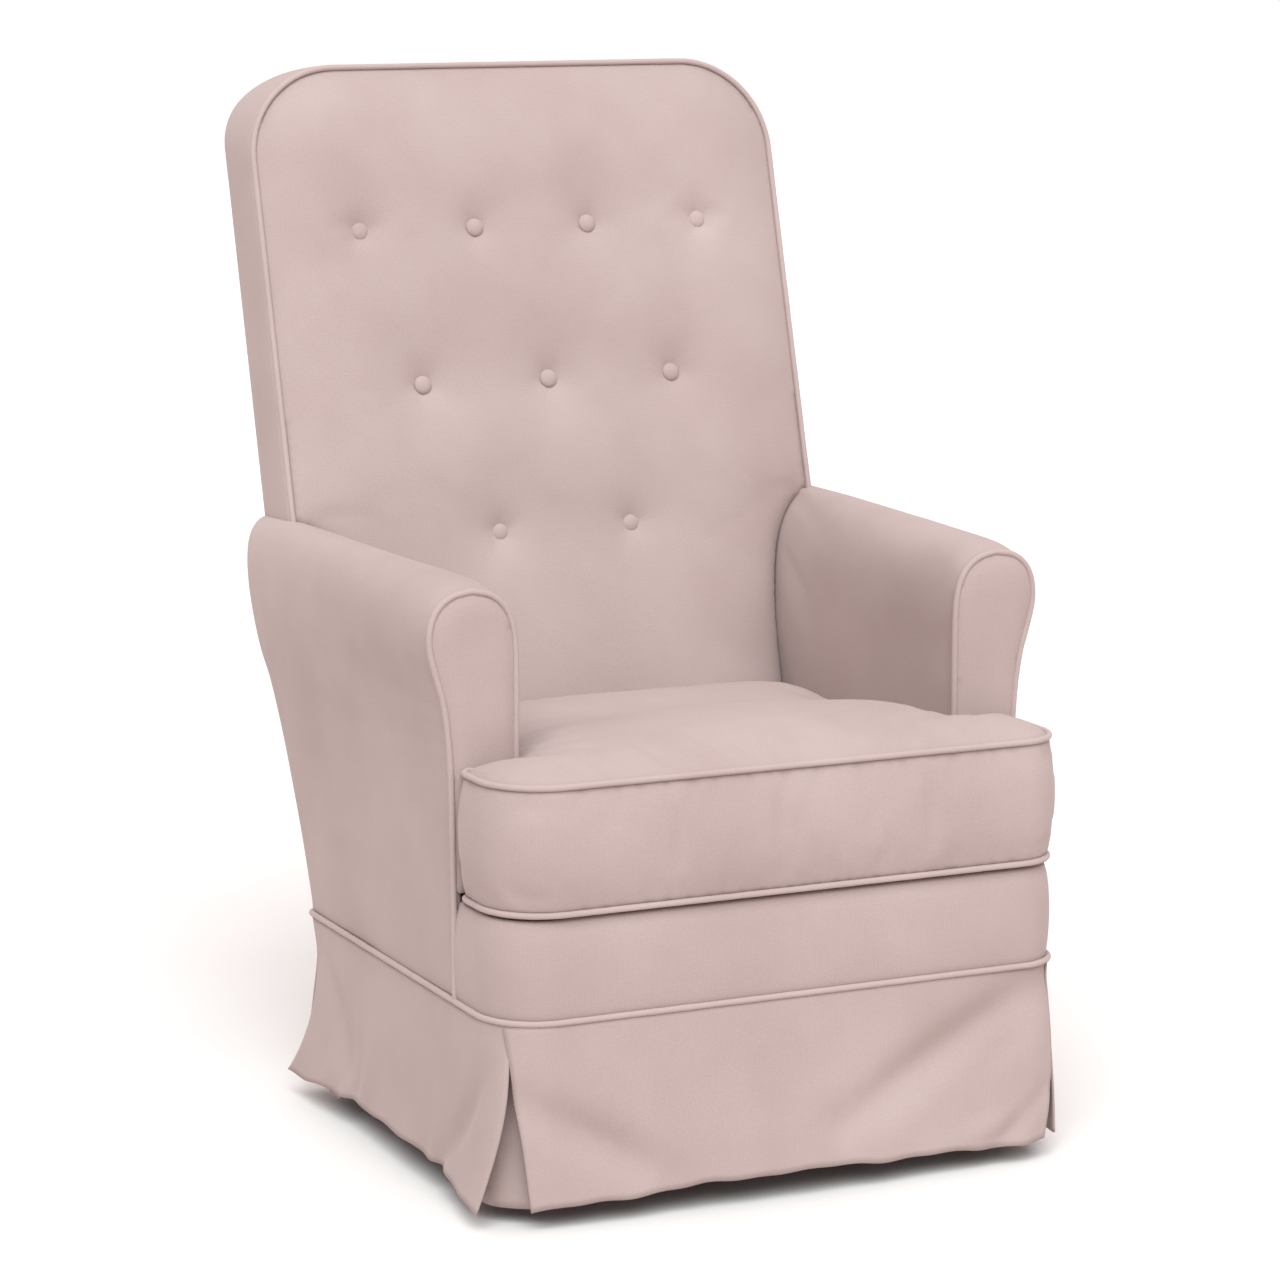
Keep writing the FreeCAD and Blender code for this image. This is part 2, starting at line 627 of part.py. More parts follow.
def back_outline(half, top, corner, low, shoulder=None, narrow=None):
    """The back's outline, narrower below its shoulder where it sits between the arms."""
    cx = half - corner
    cy = top - corner
    points = [(half, cy), corner_via(cx, cy, corner, 45), (cx, top),
              (-cx, top), corner_via(-cx, cy, corner, 135), (-half, cy)]
    if shoulder is None:
        return points + [(-half, low), (half, low)]
    return points + [(-half, shoulder), (-narrow, shoulder), (-narrow, low),
                     (narrow, low), (narrow, shoulder), (half, shoulder)]


back_top = size("back_rise") - 2 * size("piping_radius")
arm_top = size("roll_z") + size("roll_radius")
pad_rear = size("post_front") - 4
shoulder = up_at(arm_top + 22, -size("back_crown"))
pad_low = up_at(size("seat_top") + 6, pad_rear)
cushion_cut = back_box("cushion_cut", ("-400", "400"), ("-dims.back_crown - dims.soft_gap", "200"),
                       ("-400", "100"))
subpart("seat_cushion", cut("cushion_trimmed", cushion_block, cushion_cut))

pad_shape = outline_edges(back_outline(size("back_half"), back_top, size("back_corner"), pad_low,
                                       shoulder, size("arm_inner") - 1))
pad_body = back_body("back_padding", pad_shape, "-dims.back_crown", "dims.back_crown + dims.post_front - 4")

# Buttons stand in three rows up the slope: (height above the floor, positions across)
BUTTON_ROWS = ((931, (-204, -68, 68, 204)), (765, (-150, 0, 150)), (604, (-79, 79)))
LIE_BACK = Rotation(Vector(1, 0, 0), -90 - recline)
dimples = []
buttons = []
for height, places in BUTTON_ROWS:
    up = up_at(height, 0)
    for x in places:
        tag = f"{height}_{'m' if x < 0 else 'p'}{abs(x)}"
        dimples.append(rod(f"dimple_{tag}", "dims.button_radius + 2", "dims.button_depth",
                           on_back(str(x), "-dims.back_crown", str(up)), LIE_BACK))
        buttons.append(rod(f"button_{tag}", "dims.button_radius", "dims.button_thick",
                           on_back(str(x), "-dims.back_crown + dims.button_depth - dims.button_thick",
                                   str(up)), LIE_BACK))
subpart("back_pad", cut("back_pad_tufted", pad_body, group("dimples", dimples)))
subpart("back_buttons", group("buttons", buttons))

post_low = up_at(size("rail_top") + 1, size("post_front") + size("post_thick"))
post_x = ("dims.rail_outer - dims.post_width", "dims.rail_outer")
post_depth = ("dims.post_front", "dims.post_front + dims.post_thick")
for side, sign in SIDES:
    subpart(f"back_post_{side}", back_box(f"post_{side}", mirrored(post_x, sign), post_depth,
                                          (post_low, "dims.back_rise - 96")))
cross_x = ("-dims.rail_outer + dims.post_width", "dims.rail_outer - dims.post_width")
lumbar_low = up_at(350, size("post_front"))
subpart("back_top_rail", back_box("top_rail", cross_x, post_depth,
                                  ("dims.back_rise - 96 - 45", "dims.back_rise - 96")))
subpart("back_lumbar_rail", back_box("lumbar_rail", cross_x, post_depth, (lumbar_low, lumbar_low + 45)))

# A strap runs behind each row of buttons, to hold its twines, and between the rows
STRAP_HEIGHTS = (430, 500, 604, 685, 765, 850, 931)
straps = []
for height in STRAP_HEIGHTS:
    up = up_at(height, size("post_front"))
    straps.append(back_box(f"strap_{height}", ("-dims.rail_outer + 8", "dims.rail_outer - 8"),
                           ("dims.post_front - 3", "dims.post_front - 0.2"), (up - 25, up + 25)))
subpart("back_webbing", group("straps", straps))


def border_outline():
    """The boxing round the back: an arch, open at the bottom."""
    half = size("back_half")
    corner = size("back_corner")
    wall = size("cover_thick")
    low = up_at(size("arm_waist") + 4, size("back_depth"))
    cx = half - corner
    cy = back_top - corner
    inner = corner - wall
    return outline_edges([
        (half, low), (half, cy), corner_via(cx, cy, corner, 45), (cx, back_top),
        (-cx, back_top), corner_via(-cx, cy, corner, 135), (-half, cy), (-half, low),
        (wall - half, low), (wall - half, cy), corner_via(-cx, cy, inner, 135), (-cx, back_top - wall),
        (cx, back_top - wall), corner_via(cx, cy, inner, 45), (half - wall, cy), (half - wall, low)])


subpart("back_border", back_body("boxing", border_outline(), "dims.post_front",
                                 "dims.back_depth - dims.post_front"))
panel_low = up_at(size("welt_height") - 4, size("back_depth"))
panel_shape = outline_edges(back_outline(size("back_half"), back_top, size("back_corner"), panel_low))
subpart("outside_back_panel", back_body("outside_back", panel_shape, "dims.back_depth",
                                        "dims.panel_thick"))

# ---------------------------------------------------------------------------
# Arms: a wooden frame, a rolled pad, an outside panel and a front facing
# ---------------------------------------------------------------------------

ROLL_END = -20      # degrees below level where the roll's outer side runs straight
ROLL_LENGTH = 560   # longer than the arm, and cut to length at the back
PAD_LOW = 300       # the inner pad's lower edge, beside the cushion
FACING_LOW = 317    # the facing's lower edge, on the cushion's deck
BOARD_REAR = 165    # rear end of the arm board


def arm_side(sign):
    """The arm's outer line from the inner wall over the roll to the waist."""
    x, z, radius = size("roll_x"), size("roll_z"), size("roll_radius")
    waist, outside = size("arm_waist"), size("body_half")
    angle = math.radians(ROLL_END)
    over = (x + radius * math.cos(angle), z + radius * math.sin(angle))
    points = [(x - radius, z), ("via", x, z + radius), (x + radius, z),
              ("via", x + radius * math.cos(angle / 2), z + radius * math.sin(angle / 2)), over,
              (outside + 8, waist + 45), ("via", outside + 2, waist + 23), (outside, waist)]
    return flipped(points, sign)


def flipped(points, sign):
    """Mirror outline points to the other side of the chair."""
    turned = []
    for point in points:
        if point[0] == "via":
            turned.append(("via", sign * point[1], point[2]))
        else:
            turned.append((sign * point[0], point[1]))
    return turned


CAVITY_TOP = 498    # underside of the roll's padding, over the wooden arm board
for side, sign in SIDES:
    inner = size("arm_inner")
    wall = inner + size("arm_wall")
    outside = size("body_half") - size("cover_thick")
    hook = arm_side(sign) + flipped([(outside, size("arm_waist")), (outside, CAVITY_TOP),
                                     (wall, CAVITY_TOP), (wall, PAD_LOW), (inner, PAD_LOW)], sign)
    roll = padded_body(f"roll_{side}", "XZ_Plane", outline_edges(hook), str(ROLL_LENGTH),
                       ("0", "dims.arm_front", "0"), True)
    behind_x = mirrored(("dims.arm_inner - 20", "dims.body_half + 4"), sign)
    behind_back = back_box(f"behind_back_{side}", behind_x, ("-1", "220"), ("-400", "400"))
    past_x = mirrored(("dims.arm_inner - 20", "dims.body_half + 60"), sign)
    past_rear = back_box(f"past_rear_{side}", past_x, ("dims.back_depth - 1", "500"), ("-400", "500"))
    trimmed = cut(f"roll_trimmed_{side}", roll, behind_back)
    subpart(f"arm_pad_{side}", cut(f"roll_ended_{side}", trimmed, past_rear))

    board = box(f"board_{side}", mirrored((str(wall + 1), str(outside - 1)), sign),
                ("dims.arm_front + 2", str(BOARD_REAR)), (str(CAVITY_TOP - 21), str(CAVITY_TOP - 1)))
    stump = box(f"stump_{side}", mirrored(("dims.rail_outer - 26", "dims.rail_outer"), sign),
                ("dims.arm_front + 2", "dims.arm_front + 32"), ("dims.rail_top", str(CAVITY_TOP - 21)))
    subpart(f"arm_frame_{side}", fuse(f"arm_wood_{side}", [board, stump]))

    facing = arm_side(sign) + flipped([(size("body_half"), FACING_LOW), (inner, FACING_LOW)], sign)
    subpart(f"arm_facing_{side}", padded_body(f"facing_{side}", "XZ_Plane", outline_edges(facing),
                                              "dims.facing_thick", ("0", "dims.arm_front", "0")))

    rear_line = size("back_y") + (size("back_depth") - 1) / math.cos(math.radians(recline))
    low, high = size("welt_height") - 4, size("arm_waist") - 1
    panel = outline_edges([(size("arm_front"), low), (rear_line + (low - size("back_z")) * slope, low),
                           (rear_line + (high - size("back_z")) * slope, high),
                           (size("arm_front"), high)])
    panel_x = mirrored(("dims.body_half - dims.cover_thick + 0.5", "dims.body_half"), sign)[0]
    subpart(f"outside_arm_{side}", padded_body(f"outside_{side}", "YZ_Plane", panel,
                                               "dims.cover_thick - 0.5", (panel_x, "0", "0")))

# ---------------------------------------------------------------------------
# Piping: fabric-covered cord swept round the seams
# ---------------------------------------------------------------------------


def piping(path, plane):
    """A round cord along lines and arcs, given as points on a plane."""
    edges = [edge.toShape() for edge in path]
    wire = Part.Wire(edges)
    first = wire.OrderedEdges[0]
    start = first.valueAt(first.FirstParameter)
    heading = first.tangentAt(first.FirstParameter)
    ring_section = Part.Wire(Part.makeCircle(size("piping_radius"), start, heading))
    cord = wire.makePipeShell([ring_section], True, True)
    cord.Placement = plane
    return cord


def open_path(points):
    """The same as an outline, without the line that closes it."""
    return outline_edges(points)[:-1]


stand = size("piping_radius") + 0.3
half = size("body_half") + stand
front = size("body_front") - stand
corner = size("corner_radius") + stand
rear = size("skirt_rear")
cx, cy = half - corner, front + corner
# The skirt's welt starts and ends at the rear, where its two ends are sewn together
skirt_welt = piping(open_path([(0.5, rear), (half - 12, rear), corner_via(half - 12, rear - 12, 12, 45),
                               (half, rear - 12), (half, cy), corner_via(cx, cy, corner, 315), (cx, front),
                               (-cx, front), corner_via(-cx, cy, corner, 225), (-half, cy),
                               (-half, rear - 12), corner_via(12 - half, rear - 12, 12, 135),
                               (12 - half, rear), (-0.5, rear)]),
                    Placement(Vector(0, 0, size("welt_height")), Rotation()))

# Piping round the back's front edge, from arm to arm
back_half = size("back_half") + stand
back_cap = back_top + stand
back_round = size("back_corner") + stand
bx, by = back_half - back_round, back_cap - back_round
welt_low = up_at(arm_top + 26, 0)
upright = Rotation(Vector(1, 0, 0), 90)
back_plane = Placement(Vector(0, size("back_y"), size("back_z")), lean.multiply(upright))
back_welt = piping(open_path([(back_half, welt_low), (back_half, by), corner_via(bx, by, back_round, 45),
                              (bx, back_cap), (-bx, back_cap), corner_via(-bx, by, back_round, 135),
                              (-back_half, by), (-back_half, welt_low)]), back_plane)

# Piping round each arm's facing
roll_x, roll_z = size("roll_x"), size("roll_z")
roll = size("roll_radius") + stand
facing_plane = Placement(Vector(0, size("arm_front") - 3, 0), upright)
arm_welts = []
for side, sign in SIDES:
    tip = math.radians(ROLL_END)
    run = flipped([(roll_x - roll, 470), (roll_x - roll, roll_z), ("via", roll_x, roll_z + roll),
                   (roll_x + roll, roll_z),
                   ("via", roll_x + roll * math.cos(tip / 2), roll_z + roll * math.sin(tip / 2)),
                   (roll_x + roll * math.cos(tip), roll_z + roll * math.sin(tip))], sign)
    arm_welts.append(piping(open_path(run), facing_plane))

piping_node = doc.addObject("Part::Feature", "piping")
piping_node.Shape = Part.makeCompound([skirt_welt, back_welt] + arm_welts)
subpart("body_piping", piping_node)

# ---------------------------------------------------------------------------
# Skirt: four panels that hang from the welt, with a pleat behind each corner gap
# ---------------------------------------------------------------------------


def skirt_panel(name, width, top_at, outward, flare):
    """A flat panel that leans out towards its hem. It is built facing -Y and turned."""
    drop = size("skirt_top") - size("hem_height")
    thick = size("skirt_thick")
    side_view = outline_edges([(0, 0), (-flare, -drop), (thick - flare, -drop), (thick, 0)])
    body = padded_body(name, "YZ_Plane", side_view, width, ("0", "0", "0"))
    turn = Rotation(Vector(0, 0, 1), outward)
    body.Placement = Placement(Vector(), turn)
    x, y = top_at
    return bind(body, Placement__Base__x=x, Placement__Base__y=y, Placement__Base__z="dims.skirt_top")


TRIM = 18           # a panel stops this far before the chair's corner
SIDE_FLARE = 7
REAR_FLARE = 40
# The front hem reaches as far forward as the back's top reaches to the rear
back_reach = (size("back_y") + (size("back_depth") + size("panel_thick")) * math.cos(math.radians(recline))
              + back_top * math.sin(math.radians(recline)))
FRONT_FLARE = back_reach + size("body_front")
front_span = f"2 * (dims.body_half - {TRIM})"
side_length = f"(dims.skirt_rear - dims.body_front - 2 * {TRIM})"
subpart("skirt_front", skirt_panel("skirt_f", front_span, (f"{TRIM} - dims.body_half", "dims.body_front"),
                                   0, FRONT_FLARE))
subpart("skirt_left", skirt_panel("skirt_l", side_length, ("dims.body_half", f"dims.body_front + {TRIM}"),
                                  90, SIDE_FLARE))
subpart("skirt_rear", skirt_panel("skirt_b", front_span, (f"dims.body_half - {TRIM}", "dims.skirt_rear"),
                                  180, REAR_FLARE))
subpart("skirt_right", skirt_panel("skirt_r", side_length, ("-dims.body_half", f"dims.skirt_rear - {TRIM}"),
                                   270, SIDE_FLARE))

pleats = []
PLEAT_RADIUS = 50
for number, (x, y, turn) in enumerate(((-1, "front", 180), (1, "front", 270), (1, "rear", 0),
                                       (-1, "rear", 90))):
    inset = "(dims.skirt_thick * 2 + 50)"
    at_x = f"{x} * (dims.body_half - {inset})"
    at_y = f"dims.body_front + {inset}" if y == "front" else f"dims.skirt_rear - {inset}"
    shell = []
    for label, radius in (("outer", PLEAT_RADIUS), ("inner", PLEAT_RADIUS - 3)):
        quarter = rod(f"pleat_{label}_{number}", str(radius), "dims.rail_bottom - dims.hem_height - 8",
                      (at_x, at_y, "dims.hem_height"), Rotation(Vector(0, 0, 1), turn))
        quarter.Angle = 90
        shell.append(quarter)
    pleats.append(cut(f"pleat_{number}", *shell))
subpart("skirt_pleats", group("pleats", pleats))

# ---------------------------------------------------------------------------
# Check every piece, then write one file for each sub-part
# ---------------------------------------------------------------------------

doc.recompute()
for feature in doc.Objects:
    if "Invalid" in feature.State or "Error" in feature.State:
        raise RuntimeError(f"{feature.Label} did not rebuild: {feature.State}")
for name, feature in SUBPARTS.items():
    if feature.Shape.isNull() or not feature.Shape.isValid() or not feature.Shape.Solids:
        raise RuntimeError(f"{name} is not a valid solid")

os.makedirs("parts", exist_ok=True)
for name, feature in SUBPARTS.items():
    feature.Shape.exportStep(f"parts/{name}.step")
print(len(SUBPARTS), "sub-parts written")
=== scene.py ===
# %% [markdown]
# # A skirted nursery glider, dressed in Blender
# The chair's frame, joints and mechanism arrive from CAD as a fixed model.
# This lesson sews the upholstery round that frame: tufted back, rolled arms, T cushion and skirt.
# Every length below is in millimetres until a mesh is made, because patterns are cut in millimetres.

# %% Load the frame
import math

import bmesh
import bpy
import numpy as np
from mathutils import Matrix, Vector, noise
from mathutils.geometry import delaunay_2d_cdt


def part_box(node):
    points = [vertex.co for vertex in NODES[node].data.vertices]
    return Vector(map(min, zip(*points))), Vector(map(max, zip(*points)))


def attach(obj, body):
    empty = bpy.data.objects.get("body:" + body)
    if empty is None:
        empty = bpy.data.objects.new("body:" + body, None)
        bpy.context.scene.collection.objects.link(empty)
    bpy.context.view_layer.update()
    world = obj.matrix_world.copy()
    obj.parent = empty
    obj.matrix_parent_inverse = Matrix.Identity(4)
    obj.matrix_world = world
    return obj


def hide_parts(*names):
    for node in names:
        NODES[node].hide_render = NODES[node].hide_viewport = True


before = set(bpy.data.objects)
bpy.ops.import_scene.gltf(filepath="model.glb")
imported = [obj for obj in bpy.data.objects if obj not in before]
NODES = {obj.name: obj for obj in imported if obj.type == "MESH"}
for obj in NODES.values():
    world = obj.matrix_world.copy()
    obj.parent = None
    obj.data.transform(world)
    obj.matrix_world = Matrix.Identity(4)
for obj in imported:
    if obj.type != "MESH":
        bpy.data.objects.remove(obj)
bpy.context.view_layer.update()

# %% [markdown]
# ## Colours and shader nodes
# Dyers and paint makers quote colours as sRGB hex values, but the renderer adds up light, so each
# value is turned to linear once, here. One small function adds a shader node, sets it and links it,
# which keeps each finish readable as a list of what it is made of.

# %% Colour and node helpers


def linear(hex_colour):
    """An sRGB hex value as linear red, green, blue and alpha."""
    channels = [int(hex_colour[i:i + 2], 16) / 255 for i in (1, 3, 5)]
    return [c / 12.92 if c <= 0.04045 else ((c + 0.055) / 1.055) ** 2.4 for c in channels] + [1]


def add_node(tree, kind, settings=None, **inputs):
    """Add a node. A socket given as an input is linked, and anything else is its value."""
    node = tree.nodes.new(kind)
    for name, value in (settings or {}).items():
        setattr(node, name, value)
    for name, value in inputs.items():
        socket = node.inputs[int(name[1:])] if name[1:].isdigit() else node.inputs[name.replace("_", " ")]
        if isinstance(value, bpy.types.NodeSocket):
            tree.links.new(value, socket)
        else:
            socket.default_value = value
    return node


def new_finish(name):
    """An empty material with its shader: returns (material, tree, shader)."""
    made = bpy.data.materials.new(name)
    made.use_nodes = True
    return made, made.node_tree, made.node_tree.nodes["Principled BSDF"]


def ramp(tree, factor, stops):
    """A colour ramp through (position, hex colour) stops."""
    node = add_node(tree, "ShaderNodeValToRGB", Fac=factor)
    elements = node.color_ramp.elements
    for index, (position, colour) in enumerate(stops):
        element = elements[index] if index < 2 else elements.new(position)
        element.position = position
        element.color = linear(colour)
    return node.outputs["Color"]


# %% [markdown]
# ## The cover: a soft brushed polyester
# The upholstery is a plain weave whose face has been brushed, so it is matt, a little downy, and
# goes paler where it is seen edge-on. Brushed cloth scatters light from its fibre tips: that is
# sheen. Its threads lie about 0.6 mm apart, too fine to show here, so they are drawn 1.9 mm apart.
# The weave follows each panel's own flat pattern, its UV map, kept in metres, as real cloth does.

# %% Finish: brushed plain weave
THREAD = 0.0019          # drawn thread spacing, in metres
WAVE = 2 * math.pi / 20  # a wave texture of scale 1 repeats every 0.314 m


def woven_cloth(name, low, mid, high, thread=THREAD, depth=0.25, fuzz=0.5, rough=0.93):
    """A woven cover: its colour drifts between three shades and its threads stand up a little."""
    made, tree, shader = new_finish(name)
    flat = add_node(tree, "ShaderNodeUVMap", {"uv_map": "UVMap"}).outputs["UV"]
    place = add_node(tree, "ShaderNodeTexCoord").outputs["Object"]
    drift = add_node(tree, "ShaderNodeTexNoise", Vector=place, Scale=7, Detail=3, Roughness=0.55)
    slub = add_node(tree, "ShaderNodeTexNoise", Vector=flat, Scale=420, Detail=2, Roughness=0.6)
    both = add_node(tree, "ShaderNodeMix", {"data_type": "FLOAT"}, Factor=0.35,
                    A=drift.outputs["Fac"], B=slub.outputs["Fac"])
    shade = ramp(tree, both.outputs["Result"], [(0.3, low), (0.5, mid), (0.72, high)])
    warp = add_node(tree, "ShaderNodeTexWave", {"bands_direction": "X"}, Vector=flat,
                    Scale=WAVE / thread, Distortion=0.6, Detail=1, Detail_Scale=2)
    weft = add_node(tree, "ShaderNodeTexWave", {"bands_direction": "Y"}, Vector=flat,
                    Scale=WAVE / thread, Distortion=0.6, Detail=1, Detail_Scale=2)
    threads = add_node(tree, "ShaderNodeMath", {"operation": "MULTIPLY"},
                       _0=warp.outputs["Fac"], _1=weft.outputs["Fac"])
    dimmed = add_node(tree, "ShaderNodeMix", {"data_type": "RGBA", "blend_type": "MULTIPLY"},
                      Factor=0.14, A=shade,
                      B=ramp(tree, threads.outputs["Value"], [(0.0, "#9c8f8c"), (1.0, "#ffffff")]))
    tree.links.new(dimmed.outputs[2], shader.inputs["Base Color"])
    nap = add_node(tree, "ShaderNodeTexNoise", Vector=flat, Scale=900, Detail=2, Roughness=0.7)
    height = add_node(tree, "ShaderNodeMix", {"data_type": "FLOAT"}, Factor=fuzz,
                      A=threads.outputs["Value"], B=nap.outputs["Fac"])
    relief = add_node(tree, "ShaderNodeBump", Strength=depth, Distance=0.0006,
                      Height=height.outputs["Result"])
    tree.links.new(relief.outputs["Normal"], shader.inputs["Normal"])
    shader.inputs["Roughness"].default_value = rough
    shader.inputs["Specular IOR Level"].default_value = 0.2
    shader.inputs["Sheen Weight"].default_value = 0.22
    shader.inputs["Sheen Roughness"].default_value = 0.55
    shader.inputs["Sheen Tint"].default_value = linear("#ead9d5")
    return made


COVER = woven_cloth("brushed_polyester_rose", "#a48d89", "#aa9490", "#b19b97")
PIPE_COVER = woven_cloth("bias_cut_piping_cloth", "#a8928e", "#ae9894", "#b59f9b", thread=0.0015)
DECK_CLOTH = woven_cloth("deck_cloth_taupe", "#a8958f", "#b09d97", "#b8a6a0", depth=0.4)
CAMBRIC = woven_cloth("spunbond_cambric_black", "#17171a", "#1d1d20", "#26262a", depth=0.4)
print("cloths:", COVER.name, PIPE_COVER.name, DECK_CLOTH.name, CAMBRIC.name)

# %% [markdown]
# ## Cutting and sewing helpers
# A cushion is sewn from flat panels, so the code works the same way: draw an outline, cover it with
# small even triangles, bend the panel into place, then join panels along their shared seams.
# A grid is enough for a strip, but a T-shaped panel needs triangles that follow its edge, which is
# what a constrained Delaunay fill gives.

# %% Outlines
MM = 0.001


def rounded(corners, step, closed=True):
    """Points along a line whose corners, given as (x, y, radius), are rounded."""
    points = []
    count = len(corners)
    for index, (x, y, radius) in enumerate(corners):
        here = np.array([x, y], float)
        if radius <= 0 or (not closed and index in (0, count - 1)):
            points.append(here)
            continue
        before = np.array(corners[index - 1][:2], float) - here
        after = np.array(corners[(index + 1) % count][:2], float) - here
        before /= np.linalg.norm(before)
        after /= np.linalg.norm(after)
        half = math.acos(np.clip(before @ after, -1, 1)) / 2
        centre = here + (before + after) / np.linalg.norm(before + after) * radius / math.sin(half)
        start = here + before * radius / math.tan(half)
        finish = here + after * radius / math.tan(half)
        for part in np.linspace(0, 1, 9):
            spoke = (1 - part) * (start - centre) + part * (finish - centre)
            points.append(centre + spoke / np.linalg.norm(spoke) * radius)
    return even(np.array(points), step, closed)


def even(points, step=None, closed=False, count=None):
    """The same line with points an even distance apart."""
    line = np.vstack([points, points[:1]]) if closed else np.array(points, float)
    lengths = np.linalg.norm(np.diff(line, axis=0), axis=1)
    along = np.concatenate([[0], np.cumsum(lengths)])
    count = count or max(2, int(round(along[-1] / step)) + (0 if closed else 1))
    places = np.linspace(0, along[-1], count, endpoint=not closed)
    return np.stack([np.interp(places, along, line[:, k]) for k in range(line.shape[1])], axis=1)


def smooth_line(knots, count):
    """A smooth curve through a few points, evenly divided."""
    knots = np.array(knots, float)
    ends = np.vstack([2 * knots[0] - knots[1], knots, 2 * knots[-1] - knots[-2]])
    fine = []
    for a, b, c, d in zip(ends, ends[1:], ends[2:], ends[3:]):
        for t in np.linspace(0, 1, 12, endpoint=False):
            fine.append(0.5 * (2 * b + (c - a) * t + (2 * a - 5 * b + 4 * c - d) * t * t
                               + (3 * b - a - 3 * c + d) * t ** 3))
    return even(np.array(fine + [knots[-1]]), count=count)


def edge_distance(points, line, closed=True):
    """How far each point is from a line of points."""
    starts = line if closed else line[:-1]
    spans = (np.roll(line, -1, axis=0) - line) if closed else np.diff(line, axis=0)
    best = np.full(len(points), 1e9)
    for start, span in zip(starts, spans):
        share = np.clip(((points - start) @ span) / max(span @ span, 1e-9), 0, 1)
        best = np.minimum(best, np.linalg.norm(points - start - share[:, None] * span, axis=1))
    return best


def inside(points, line):
    """Which points lie inside a closed outline."""
    odd = np.zeros(len(points), bool)
    for (x0, y0), (x1, y1) in zip(line, np.roll(line, -1, axis=0)):
        if y0 == y1:
            continue
        crosses = (points[:, 1] > min(y0, y1)) & (points[:, 1] <= max(y0, y1))
        odd ^= crosses & (points[:, 0] < (points[:, 1] - y0) / (y1 - y0) * (x1 - x0) + x0)
    return odd


def fill(outline, step, extra=()):
    """Cover a flat outline with even triangles, closer together round any extra points."""
    low, high = outline.min(0), outline.max(0)
    rows = np.arange(low[1], high[1], step * 0.866)
    grid = np.array([(x + (step / 2 if j % 2 else 0), y) for j, y in enumerate(rows)
                     for x in np.arange(low[0], high[0], step)])
    grid = grid[inside(grid, outline)]
    grid = grid[edge_distance(grid, outline) > step * 0.6]
    for x, y in extra:
        grid = grid[np.hypot(grid[:, 0] - x, grid[:, 1] - y) > 34]
        rings = [(x + r * math.cos(a), y + r * math.sin(a)) for r, n in
                 ((3, 6), (6.5, 12), (10, 18), (13.5, 24), (17.5, 28), (22, 32), (27, 34), (32, 34))
                 for a in np.arange(n) * 2 * math.pi / n + r]
        grid = np.vstack([grid, [(x, y)], rings])
    points = np.vstack([outline, grid])
    loop = list(range(len(outline)))
    made = delaunay_2d_cdt([Vector(p) for p in points], [], [loop], 1, 1e-6)
    return np.array([list(p) for p in made[0]]), [tuple(f) for f in made[2]]


# %% Panels and seams


def panel(points, faces, flat):
    """A cut panel: where its points are, its faces, and their places in the flat pattern."""
    return {"points": np.array(points, float), "faces": faces, "flat": np.array(flat, float)}


def strip(rows, closed=False, flat=None):
    """A panel from rows of points, each row as long as the next."""
    rows = np.array(rows, float)
    if closed:
        rows = np.concatenate([rows, rows[:, :1]], axis=1)
    down, across = rows.shape[:2]
    faces = [(j * across + i, j * across + i + 1, (j + 1) * across + i + 1, (j + 1) * across + i)
             for j in range(down - 1) for i in range(across - 1)]
    if flat is None:
        u = np.concatenate([[0], np.cumsum(np.linalg.norm(np.diff(rows, axis=1), axis=2).mean(0))])
        v = np.concatenate([[0], np.cumsum(np.linalg.norm(np.diff(rows, axis=0), axis=2).mean(1))])
        flat = np.stack(np.meshgrid(u, v), axis=2).reshape(-1, 2)
    return panel(rows.reshape(-1, 3), faces, flat)


def turned(cut):
    """The same panel with its right side facing the other way."""
    return {**cut, "faces": [tuple(reversed(f)) for f in cut["faces"]]}


def sew(name, panels, finish, join=0.02):
    """Join panels along their shared seams into one piece, in metres, smooth shaded."""
    shape = bmesh.new()
    chart = shape.loops.layers.uv.new("UVMap")
    for cut in panels:
        made = [shape.verts.new(p * MM) for p in cut["points"]]
        for corners in cut["faces"]:
            if len(set(corners)) < 3:
                continue
            face = shape.faces.new([made[i] for i in corners])
            face.smooth = True
            for loop, i in zip(face.loops, corners):
                loop[chart].uv = cut["flat"][i] * MM
    bmesh.ops.remove_doubles(shape, verts=shape.verts, dist=join * MM)
    bmesh.ops.dissolve_degenerate(shape, edges=shape.edges, dist=join * MM / 2)
    mesh = bpy.data.meshes.new(name)
    shape.to_mesh(mesh)
    shape.free()
    mesh.materials.append(finish)
    piece = bpy.data.objects.new(name, mesh)
    bpy.context.scene.collection.objects.link(piece)
    return piece


def outward(piece):
    """Point a closed piece's faces outwards."""
    shape = bmesh.new()
    shape.from_mesh(piece.data)
    bmesh.ops.recalc_face_normals(shape, faces=shape.faces)
    if shape.calc_volume(signed=True) < 0:
        bmesh.ops.reverse_faces(shape, faces=shape.faces)
    shape.to_mesh(piece.data)
    shape.free()
    return piece


def thicken(piece, thickness, offset=-1):
    """Give a single layer of cloth its thickness, inwards from its face."""
    wall = piece.modifiers.new("cloth_thickness", "SOLIDIFY")
    wall.thickness = thickness * MM
    wall.offset = offset
    return piece


def face_count(piece):
    return f"{piece.name}: {len(piece.data.polygons)} faces"


# %% [markdown]
# ## Filling a cover
# A sewn cover is a little slack until its filling presses it out. The cloth simulation does just
# that: seams and buttons are pinned, gravity is off, and pressure swells the panels between them.
# Each point is then held within a small distance of where it started, so the piece keeps its size.

# %% Inflate a cover


